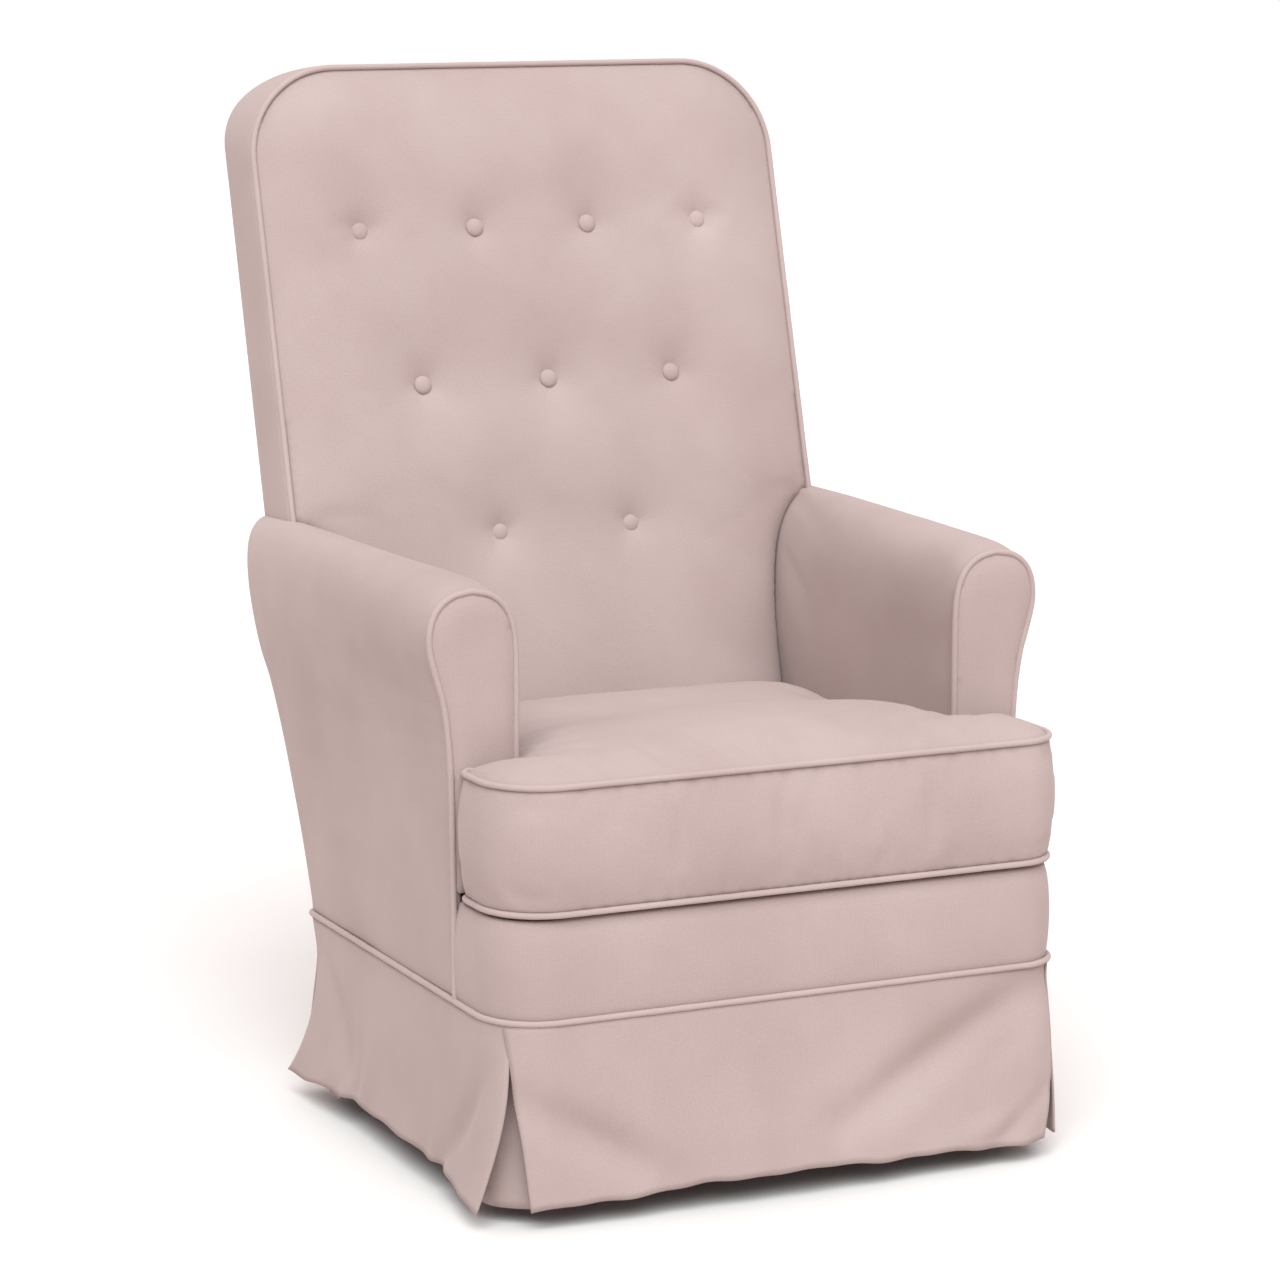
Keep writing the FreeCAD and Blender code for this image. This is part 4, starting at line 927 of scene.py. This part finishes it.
# %% Skirt helpers
SKIRT_TOP, UNDERLAY_HEM = 208, 17
SKIRT_CLOTH = 2.4   # lined cloth, in millimetres


def valley(along, height, start, finish, width, depth):
    """A soft fold along a line from start to finish, each (along, height): how far it goes in."""
    place = np.stack([along, height], axis=-1)
    a, b = np.array(start, float), np.array(finish, float)
    share = np.clip(((place - a) @ (b - a)) / ((b - a) @ (b - a)), 0, 1)
    apart = np.linalg.norm(place - a - share[..., None] * (b - a), axis=-1)
    return depth * np.exp(-(apart / width) ** 2) * (0.35 + 0.65 * np.sin(np.pi * np.clip(share, 0.05, 0.95)))


def hang(name, plan_at, out_at, hem_at, columns):
    """A skirt panel. plan_at gives its place, out_at its folds, hem_at its hem's height."""
    s = np.linspace(0, 1, columns)
    grid = []
    for h in np.linspace(0, 1, 27):
        x, y, nx, ny = plan_at(s, h)
        z = SKIRT_TOP - h * (SKIRT_TOP - hem_at(s))
        out = out_at(s, h, z)
        grid.append(np.column_stack([x + nx * out, y + ny * out, z]))
    piece = sew(name, [strip(grid)], COVER)
    middle = np.array([face.normal for face in piece.data.polygons]).mean(0)
    _, _, nx, ny = plan_at(np.array([0.5]), 0.5)
    if middle[0] * nx[0] + middle[1] * ny[0] < 0:
        piece.data.flip_normals()
    thicken(piece, SKIRT_CLOTH)
    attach(piece, "seat")
    return piece


# %% Front and rear panels
TOP_HALF = 306


def corner_y(x, front):
    """The front panel's top line, drawn back at its ends by the rounded corners."""
    radius = np.where(x > 0, LEFT_CORNER, RIGHT_CORNER)
    past = np.clip(np.abs(x) - (HALF + 2 - radius), 0, radius - 1)
    return front + radius - np.sqrt(radius ** 2 - past ** 2)


def front_plan(s, h):
    """Where the front panel hangs: s runs across it and h down it, both from 0 to 1."""
    x = (2 * s - 1) * (TOP_HALF - np.where(s < 0.5, 20 * h, 10 * h * h))
    x = x + 7 * math.sin(math.pi * min(h, 1)) * ease((2 * s - 1.8) / 0.2)
    y = corner_y(x, FRONT - 2) * (1 - h) + (FRONT - 2 + 6 * ease((np.abs(2 * s - 1) - 0.9) / 0.1)) * h
    return x, y, np.zeros_like(x), -np.ones_like(x)


def front_folds(s, h, z):
    """How far the front panel stands out, with its long slanting folds."""
    x = (2 * s - 1) * TOP_HALF
    out = 1.5 + 9 * h ** 1.3 + 3 * h * np.cos(x / 95)
    out = out - valley(x, z, (-300, 130), (-150, 40), 22, 11)
    out = out - valley(x, z, (300, 195), (60, 70), 24, 14) - valley(x, z, (275, 150), (215, 100), 15, 3.5)
    out = out + valley(x, z, (290, 60), (190, 30), 14, 3.5) - valley(x, z, (300, 75), (240, 22), 12, 6)
    return out + 1.2 * h ** 3 * np.sin(x / 17 + 2 * np.sin(x / 61)) + 0.6 * h * np.sin(x / 41)


def front_hem(s):
    x = (2 * s - 1) * TOP_HALF
    return 29 - 8 * ease(np.abs(x + 30) / 330) + 1.1 * np.sin(x / 23) + 0.8 * np.sin(x / 9.5)


front_skirt = hang("skirt_front_panel", front_plan, front_folds, front_hem, 130)
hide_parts("skirt_front")


def rear_plan(s, h):
    x = (1 - 2 * s) * (TOP_HALF - 2 + 8 * h)
    return x, np.full_like(x, 152.0), np.zeros_like(x), np.ones_like(x)


def rear_folds(s, h, z):
    x = (1 - 2 * s) * TOP_HALF
    out = 2 + 36 * h ** 1.6 - valley(x, z, (-290, 150), (-130, 40), 26, 6)
    out = out - valley(x, z, (290, 160), (150, 35), 26, 6) + 4 * h * np.cos(x / 120)
    return out + 1.2 * h ** 3 * np.sin(x / 19 + 2 * np.sin(x / 55))


rear_skirt = hang("skirt_rear_panel", rear_plan, rear_folds, lambda s: 27 + 1.5 * np.sin(s * 31), 120)
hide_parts("skirt_rear")
print(face_count(front_skirt), "/", face_count(rear_skirt))

# %% Side panels


def side_panel(side, sign, front_flare):
    """A side panel, which flares out at both ends; s runs from front to rear and h downwards."""
    def plan(s, h):
        first = -358 - 8 * math.sin(math.pi * h)
        rear = 139 - 95 * h + 140 * h * h
        y = first + s * (rear - first)
        radius = LEFT_CORNER if sign > 0 else RIGHT_CORNER
        past = np.clip(FRONT - 2 + radius - y, 0, radius - 1)
        bend = radius - np.sqrt(radius ** 2 - past ** 2)
        x = HALF + 2 - bend * (1 - h) ** 0.8
        return sign * x, y, np.full_like(y, sign), np.zeros_like(y)

    def folds(s, h, z):
        y = -360 + s * 500
        out = 1.5 + 4 * h
        front_line = 0.24 * np.clip((h - 0.08) / 0.92, 0, 1)
        rear_line = 1 - 0.34 * np.clip((h - 0.12) / 0.88, 0, 1)
        out = out + front_flare * np.maximum(front_line - s, 0) * h + 30 * np.maximum(s - rear_line, 0) * h
        out = out - valley(y, z, (-352, 190), (-240, 28), 15, 6) - valley(y, z, (120, 170), (-25, 30), 20, 7)
        return out + 1.5 * h ** 4 * np.sin(y / 12 + 3 * np.sin(y / 37)) + 1.2 * h * np.sin(y / 60)

    def hem(s):
        ends = 13 * ease((0.3 - s) / 0.3) + 7 * ease((s - 0.75) / 0.25)
        return 32 - ends + 1.4 * np.sin(s * 37 + 3 * s * s)

    piece = hang(f"skirt_{side}_panel", plan, folds, hem, 116)
    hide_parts(f"skirt_{side}")
    return piece


for side, sign, front_flare in (("left", 1, 0), ("right", -1, 62)):
    print(face_count(side_panel(side, sign, front_flare)))

# %% [markdown]
# ## Corner underlays
# The underlay of a kick pleat is a separate flap sewn behind the gap. It follows the corner inside the
# two panels and shows only where they part.

# %% Underlays


def underlay(name, x_side, y_side):
    """A flap round one corner, inside the two panels."""
    front = y_side < 0
    edge_y = FRONT if front else 152
    top_line = rounded([(x_side * (HALF - 7), edge_y + (75 if front else -75), 0),
                        (x_side * (HALF - 7), edge_y + (7 if front else -7), 50),
                        (x_side * (HALF - 80), edge_y + (20 if front else -7), 0)], 4, closed=False)
    grow_out = 4 if front else 22
    low_line = top_line + np.array([x_side * 4, 0]) * np.linspace(0.4, 1, len(top_line))[::-1, None]
    low_line = low_line + np.array([0, y_side * grow_out]) * np.linspace(0.1, 1, len(top_line))[:, None]
    rows = []
    for h in np.linspace(0, 1, 20):
        line = top_line * (1 - h) + low_line * h
        z = SKIRT_TOP - 3 - h * (SKIRT_TOP - 3 - UNDERLAY_HEM)
        fold = 1.2 * h * np.sin(np.linspace(0, 9, len(line)))
        line = line + fold[:, None] * np.array([x_side, y_side])
        rows.append(np.column_stack([line, np.full(len(line), z)]))
    piece = sew(name, [strip(rows)], COVER)
    normal = np.array(piece.data.polygons[len(piece.data.polygons) // 2].normal)
    if normal[0] * x_side + normal[1] * y_side < 0:
        piece.data.flip_normals()
    thicken(piece, SKIRT_CLOTH)
    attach(piece, "seat")
    return piece


flaps = [underlay(f"underlay_{end}_{side}", x, y) for end, y in (("front", -1), ("rear", 1))
         for side, x in (("left", 1), ("right", -1))]
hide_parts("skirt_pleats")
print([face_count(f) for f in flaps])

# %% [markdown]
# ## The hidden metal and wood
# The frame under the skirt keeps its CAD shapes and only needs finishes: black enamel sprayed on
# steel, bright zinc plate on bolts, ground bearing steel, moulded nylon, rubber and planed beech.

# %% Metal finishes


def enamel_on_steel():
    """Sprayed enamel: an almost black coat with a faint orange-peel, its shade and gloss drifting in soft
    clouds.
    """
    made, tree, shader = new_finish("sprayed_enamel_black")
    place = add_node(tree, "ShaderNodeTexCoord").outputs["Object"]
    peel = add_node(tree, "ShaderNodeTexNoise", Vector=place, Scale=350, Detail=2)
    cloud = add_node(tree, "ShaderNodeTexNoise", Vector=place, Scale=18, Detail=4)
    tree.links.new(ramp(tree, cloud.outputs["Fac"], [(0.3, "#131314"), (0.7, "#1e1e20")]),
                   shader.inputs["Base Color"])
    gloss = add_node(tree, "ShaderNodeMapRange", Value=cloud.outputs["Fac"], _3=0.34, _4=0.5)
    tree.links.new(gloss.outputs["Result"], shader.inputs["Roughness"])
    relief = add_node(tree, "ShaderNodeBump", Strength=0.25, Distance=0.0002, Height=peel.outputs["Fac"])
    tree.links.new(relief.outputs["Normal"], shader.inputs["Normal"])
    shader.inputs["IOR"].default_value = 1.5
    return made


def plain_metal(name, dark, light, rough_low, rough_high, grain, stretch=(1, 1, 1)):
    """Bare or plated metal whose roughness follows the marks of how it was made."""
    made, tree, shader = new_finish(name)
    place = add_node(tree, "ShaderNodeTexCoord").outputs["Object"]
    aimed = add_node(tree, "ShaderNodeMapping", Vector=place, Scale=stretch)
    marks = add_node(tree, "ShaderNodeTexNoise", Vector=aimed.outputs["Vector"], Scale=grain, Detail=3)
    bloom = add_node(tree, "ShaderNodeTexNoise", Vector=place, Scale=30, Detail=3)
    tree.links.new(ramp(tree, bloom.outputs["Fac"], [(0.3, dark), (0.7, light)]),
                   shader.inputs["Base Color"])
    gloss = add_node(tree, "ShaderNodeMapRange", Value=marks.outputs["Fac"], _3=rough_low, _4=rough_high)
    tree.links.new(gloss.outputs["Result"], shader.inputs["Roughness"])
    relief = add_node(tree, "ShaderNodeBump", Strength=0.15, Distance=0.0001, Height=marks.outputs["Fac"])
    tree.links.new(relief.outputs["Normal"], shader.inputs["Normal"])
    shader.inputs["Metallic"].default_value = 1
    return made


ENAMEL = enamel_on_steel()
ZINC = plain_metal("bright_zinc_plate", "#a9adb0", "#c3c7ca", 0.26, 0.42, 500)
BEARING = plain_metal("ground_bearing_steel", "#9a9c9e", "#b3b5b7", 0.14, 0.28, 900, (1, 1, 0.1))
SPRING = plain_metal("drawn_spring_wire", "#5f6063", "#77787b", 0.3, 0.5, 700)

# %% Nylon, rubber, jute and beech


def moulded(name, dark, light, rough, grit, depth, ior=1.5):
    """A moulded plastic or rubber with the fine texture of its mould."""
    made, tree, shader = new_finish(name)
    place = add_node(tree, "ShaderNodeTexCoord").outputs["Object"]
    texture = add_node(tree, "ShaderNodeTexNoise", Vector=place, Scale=grit, Detail=2)
    drift = add_node(tree, "ShaderNodeTexNoise", Vector=place, Scale=25, Detail=2)
    tree.links.new(ramp(tree, drift.outputs["Fac"], [(0.3, dark), (0.7, light)]),
                   shader.inputs["Base Color"])
    relief = add_node(tree, "ShaderNodeBump", Strength=depth, Distance=0.0002,
                      Height=texture.outputs["Fac"])
    tree.links.new(relief.outputs["Normal"], shader.inputs["Normal"])
    shader.inputs["Roughness"].default_value = rough
    shader.inputs["IOR"].default_value = ior
    return made


def planed_beech():
    """Steamed beech: pale pinkish brown with short dark flecks 2 to 4 mm long along the grain."""
    made, tree, shader = new_finish("planed_beech")
    place = add_node(tree, "ShaderNodeTexCoord").outputs["Object"]
    lengthwise = add_node(tree, "ShaderNodeMapping", Vector=place, Scale=(60, 12, 60))
    grain = add_node(tree, "ShaderNodeTexNoise", Vector=lengthwise.outputs["Vector"], Scale=1, Detail=5)
    fleck_place = add_node(tree, "ShaderNodeMapping", Vector=place, Scale=(900, 280, 900))
    fleck = add_node(tree, "ShaderNodeTexVoronoi", Vector=fleck_place.outputs["Vector"], Scale=1)
    wood = ramp(tree, grain.outputs["Fac"], [(0.3, "#b98f68"), (0.55, "#c9a27a"), (0.75, "#d6b48e")])
    flecks = ramp(tree, fleck.outputs["Distance"], [(0.1, "#a98663"), (0.35, "#ffffff")])
    both = add_node(tree, "ShaderNodeMix", {"data_type": "RGBA", "blend_type": "MULTIPLY"}, Factor=0.5,
                    A=wood, B=flecks)
    tree.links.new(both.outputs[2], shader.inputs["Base Color"])
    relief = add_node(tree, "ShaderNodeBump", Strength=0.2, Distance=0.0002, Height=grain.outputs["Fac"])
    tree.links.new(relief.outputs["Normal"], shader.inputs["Normal"])
    shader.inputs["Roughness"].default_value = 0.6
    return made


def jute_strap():
    """Jute webbing: thick brown yarns 2.5 mm apart, woven plain."""
    made, tree, shader = new_finish("jute_webbing")
    place = add_node(tree, "ShaderNodeTexCoord").outputs["Object"]
    across = add_node(tree, "ShaderNodeTexWave", {"bands_direction": "X"}, Vector=place, Scale=WAVE / 0.0025)
    upward = add_node(tree, "ShaderNodeTexWave", {"bands_direction": "Z"}, Vector=place, Scale=WAVE / 0.0025)
    yarns = add_node(tree, "ShaderNodeMath", {"operation": "MULTIPLY"}, _0=across.outputs["Fac"],
                     _1=upward.outputs["Fac"])
    tree.links.new(ramp(tree, yarns.outputs["Value"], [(0.0, "#6e5233"), (0.6, "#a9865a")]),
                   shader.inputs["Base Color"])
    relief = add_node(tree, "ShaderNodeBump", Strength=0.6, Distance=0.0006, Height=yarns.outputs["Value"])
    tree.links.new(relief.outputs["Normal"], shader.inputs["Normal"])
    shader.inputs["Roughness"].default_value = 0.95
    return made


NYLON = moulded("moulded_nylon_white", "#d5d4cd", "#e0dfd9", 0.42, 600, 0.15, 1.53)
RUBBER = moulded("moulded_rubber_black", "#151515", "#1f1f1f", 0.78, 800, 0.4, 1.52)
BEECH = planed_beech()
JUTE = jute_strap()

# %% Dress the CAD nodes
FINISHES = {
    ENAMEL: ["base_ring", "base_cross", "turntable_plate", "cradle_cross_front", "cradle_cross_rear",
             "cradle_uprights", "front_link_left", "front_link_right", "rear_link_left",
             "rear_link_right", "glide_bracket_left", "glide_bracket_right"],
    ZINC: ["kingpin", "kingpin_nut", "upper_pivot_bolts", "lower_pivot_bolts", "bracket_bolts",
           "stop_pegs", "spring_clips"],
    BEARING: ["bearing_lower_race", "bearing_upper_race", "bearing_balls"],
    NYLON: ["base_pads", "front_link_bushes", "rear_link_bushes"],
    RUBBER: ["glide_stops"],
    BEECH: ["side_rail_left", "side_rail_right", "front_rail", "rear_rail", "corner_blocks",
            "back_post_left", "back_post_right", "back_top_rail", "back_lumbar_rail",
            "arm_frame_left", "arm_frame_right"],
    JUTE: ["back_webbing"],
}
for finish, names in FINISHES.items():
    for name in names:
        slots = NODES[name].data.materials
        for index in range(len(slots)):
            slots[index] = finish
        if not len(slots):
            slots.append(finish)
print("finishes on CAD nodes:", sum(len(names) for names in FINISHES.values()))

# %% [markdown]
# ## Seat springs
# Sinuous springs are wire bent in flat loops, clipped to the front and rear rails, and they arch up a
# little. The tree bends a straight line of points with a sine, wraps a wire round it, and repeats it
# across the seat.

# %% Sinuous springs
tree, given, result = new_tree("Sinuous springs", ("Length", "Float", 0.45), ("Loop Width", "Float", 0.044),
                               ("Loops", "Float", 18.0), ("Arch", "Float", 0.0), ("Wire", "Float", 0.0016),
                               ("Steel", "Material", None))
end = add_node(tree, "ShaderNodeCombineXYZ", Y=given.outputs["Length"])
line = add_node(tree, "GeometryNodeCurvePrimitiveLine", End=end.outputs["Vector"])
line = add_node(tree, "GeometryNodeResampleCurve", Curve=line.outputs["Curve"], Count=400)
share = add_node(tree, "GeometryNodeSplineParameter")
angle = add_node(tree, "ShaderNodeMath", {"operation": "MULTIPLY"}, _0=share.outputs["Factor"],
                 _1=given.outputs["Loops"])
angle = add_node(tree, "ShaderNodeMath", {"operation": "MULTIPLY"}, _0=angle.outputs["Value"], _1=math.pi)
swing = add_node(tree, "ShaderNodeMath", {"operation": "SINE"}, _0=angle.outputs["Value"])
sharper = add_node(tree, "ShaderNodeMath", {"operation": "MULTIPLY"}, _0=swing.outputs["Value"], _1=2.2)
squared = add_node(tree, "ShaderNodeMath", {"operation": "TANH"}, _0=sharper.outputs["Value"])
half_width = add_node(tree, "ShaderNodeMath", {"operation": "MULTIPLY"},
                      _0=given.outputs["Loop Width"], _1=0.5)
sideways = add_node(tree, "ShaderNodeMath", {"operation": "MULTIPLY"}, _0=squared.outputs["Value"],
                    _1=half_width.outputs["Value"])
arch_turn = add_node(tree, "ShaderNodeMath", {"operation": "MULTIPLY"},
                     _0=share.outputs["Factor"], _1=math.pi)
arch_sine = add_node(tree, "ShaderNodeMath", {"operation": "SINE"}, _0=arch_turn.outputs["Value"])
rise = add_node(tree, "ShaderNodeMath", {"operation": "MULTIPLY"}, _0=arch_sine.outputs["Value"],
                _1=given.outputs["Arch"])
bend = add_node(tree, "ShaderNodeCombineXYZ", X=sideways.outputs["Value"], Z=rise.outputs["Value"])
bent = add_node(tree, "GeometryNodeSetPosition", Geometry=line.outputs["Curve"],
                Offset=bend.outputs["Vector"])
section = add_node(tree, "GeometryNodeCurvePrimitiveCircle", Resolution=8, Radius=given.outputs["Wire"])
tube = add_node(tree, "GeometryNodeCurveToMesh", Curve=bent.outputs["Geometry"],
                Profile_Curve=section.outputs["Curve"], Fill_Caps=True)
rows = add_node(tree, "GeometryNodeInstanceOnPoints", Points=given.outputs["Geometry"],
                Instance=tube.outputs["Mesh"])
real = add_node(tree, "GeometryNodeRealizeInstances", Geometry=rows.outputs["Instances"])
soft = add_node(tree, "GeometryNodeSetShadeSmooth", Geometry=real.outputs["Geometry"])
steel = add_node(tree, "GeometryNodeSetMaterial", Geometry=soft.outputs["Geometry"],
                 Material=given.outputs["Steel"])
tree.links.new(steel.outputs["Geometry"], result.inputs["Geometry"])

spring_low, spring_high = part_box("seat_springs")
starts = wire([([(x, spring_low.y / MM, spring_high.z / MM - 1.7)], False)
               for x in (-200, -100, 0, 100, 200)])
springs = grow("sinuous_seat_springs", tree, starts, Length=spring_high.y - spring_low.y,
               Loop_Width=0.042, Loops=18.0, Arch=0.004, Wire=0.0016, Steel=SPRING)
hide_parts("seat_springs")
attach(springs, "seat")
print(face_count(springs))

# %% [markdown]
# ## Deck and dust cover
# Under the cushion a plain deck cloth covers a thin pad over the springs. Under the seat a black
# cambric is stapled to the rails and keeps dust out.

# %% Deck and dust cover
deck_low, deck_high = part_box("seat_deck")
deck_plan = rounded([(-HALF + 8, ARM_FRONT - 6, 3), (-HALF + 8, FRONT + 8, 54), (HALF - 8, FRONT + 8, 54),
                     (HALF - 8, ARM_FRONT - 6, 3), (246, ARM_FRONT - 6, 3), (246, deck_high.y / MM - 2, 6),
                     (-246, deck_high.y / MM - 2, 6), (-246, ARM_FRONT - 6, 3)], 9)
flat, faces = fill(deck_plan, 9)
depth = edge_distance(flat, deck_plan)
pad_low, pad_high = deck_low.z / MM + 4, deck_high.z / MM
rise = pad_high - 3.5 + 3.3 * (1 - np.exp(-depth / 12)) - 0.8 * np.exp(-((flat[:, 1] + 300) / 4) ** 2)
deck = outward(sew("padded_deck", [
    panel(np.column_stack([flat, rise]), faces, flat),
    strip([np.column_stack([deck_plan, np.full(len(deck_plan), z)]) for z in
           np.linspace(pad_high - 3.5, pad_low, 4)], closed=True),
    turned(panel(np.column_stack([flat, np.full(len(flat), pad_low)]), faces, flat))], DECK_CLOTH))
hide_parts("seat_deck")
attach(deck, "seat")

dust_low, dust_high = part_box("dust_cover")
x0, y0, x1, y1 = (v / MM for v in (dust_low.x, dust_low.y, dust_high.x, dust_high.y))
dust_plan = rounded([(x0 + 1, y0 + 1, 4), (x1 - 1, y0 + 1, 4), (x1 - 1, y1 - 1, 4), (x0 + 1, y1 - 1, 4)], 12)
flat, faces = fill(dust_plan, 12)
depth = edge_distance(flat, dust_plan)
sag = 0.8 * (1 - np.exp(-depth / 60)) + 0.3 * np.sin(flat[:, 0] / 12) * np.exp(-depth / 14)
dust = sew("dust_cover_cambric", [turned(panel(np.column_stack([flat, dust_low.z / MM + 1.2 - sag]),
                                               faces, flat))], CAMBRIC)
if dust.data.polygons[0].normal.z > 0:
    dust.data.flip_normals()
thicken(dust, 0.8)
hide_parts("dust_cover")
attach(dust, "seat")
print(face_count(deck), "/", face_count(dust))

# %% [markdown]
# ## Floor, light and camera
# A pale floor, a bright even surround and one wide overhead light, like a small product studio. The light
# comes from ahead and above and is as wide as a whole ceiling panel, so both sides of the chair fall into
# soft shade and the floor is equally bright everywhere. The surround is dimmer low down at either side, as
# if dark flags stood there, which keeps the skirt and the outside arms from washing out. The flags only
# take light away: the camera still sees a white backdrop in every direction. The overhead light is a little
# cool and the surround a little warm, so lit cloth looks paler and shaded cloth rosier.

# %% Studio
floor_mesh = bpy.data.meshes.new("studio_floor")
floor_mesh.from_pydata([(-14, -14, 0), (14, -14, 0), (14, 14, 0), (-14, 14, 0)], [], [(0, 1, 2, 3)])
floor = bpy.data.objects.new("studio_floor", floor_mesh)
bpy.context.scene.collection.objects.link(floor)
paper, tree, shader = new_finish("studio_paper_white")
place = add_node(tree, "ShaderNodeTexCoord").outputs["Object"]
speck = add_node(tree, "ShaderNodeTexNoise", Vector=place, Scale=3)
tree.links.new(ramp(tree, speck.outputs["Fac"], [(0.3, "#dcd3d0"), (0.7, "#dfd6d3")]),
               shader.inputs["Base Color"])
shader.inputs["Roughness"].default_value = 0.9
floor_mesh.materials.append(paper)

scene = bpy.context.scene
scene.view_settings.view_transform = "Standard"
world = bpy.data.worlds.new("studio_air")
world.use_nodes = True
air = world.node_tree
air.nodes["Background"].inputs["Color"].default_value = (1.05, 1.0, 1.0, 1.0)
heading = add_node(air, "ShaderNodeTexCoord").outputs["Generated"]
toward = add_node(air, "ShaderNodeSeparateXYZ", Vector=heading)
sideways = add_node(air, "ShaderNodeMath", {"operation": "ABSOLUTE"}, _0=toward.outputs["X"])
beside = add_node(air, "ShaderNodeMapRange", Value=sideways.outputs["Value"], From_Min=0.62, From_Max=0.9)
below = add_node(air, "ShaderNodeMapRange", Value=toward.outputs["Z"], From_Min=0.7, From_Max=0.25)
flagged = add_node(air, "ShaderNodeMath", {"operation": "MULTIPLY"},
                   _0=beside.outputs["Result"], _1=below.outputs["Result"])
level = add_node(air, "ShaderNodeMapRange", Value=flagged.outputs["Value"], To_Min=1.0, To_Max=0.05)
seen = add_node(air, "ShaderNodeMath", {"operation": "MAXIMUM"}, _0=level.outputs["Result"],
                _1=add_node(air, "ShaderNodeLightPath").outputs["Is Camera Ray"])
air.links.new(seen.outputs["Value"], air.nodes["Background"].inputs["Strength"])
scene.world = world

lamp = bpy.data.lights.new("wide_overhead_light", "SUN")
lamp.energy = 3.5
lamp.angle = math.radians(50)
lamp.color = (0.84, 1.0, 1.03)
overhead = bpy.data.objects.new("wide_overhead_light", lamp)
overhead.rotation_euler = Vector((-0.30, -0.66, 0.87)).to_track_quat("Z", "Y").to_euler()
scene.collection.objects.link(overhead)

# %% Camera
AZIMUTH, ELEVATION, DISTANCE = math.radians(-25.053), math.radians(10.108), 4.465
aim = Vector((0, -0.020, 0.5206))
back_off = Vector((math.sin(AZIMUTH) * math.cos(ELEVATION), -math.cos(AZIMUTH) * math.cos(ELEVATION),
                   math.sin(ELEVATION)))
lens = bpy.data.cameras.new("camera")
lens.lens, lens.sensor_width = 117.6, 36
camera = bpy.data.objects.new("camera", lens)
camera.location = aim + back_off * DISTANCE
camera.rotation_euler = back_off.to_track_quat("Z", "Y").to_euler()
scene.collection.objects.link(camera)
scene.camera = camera
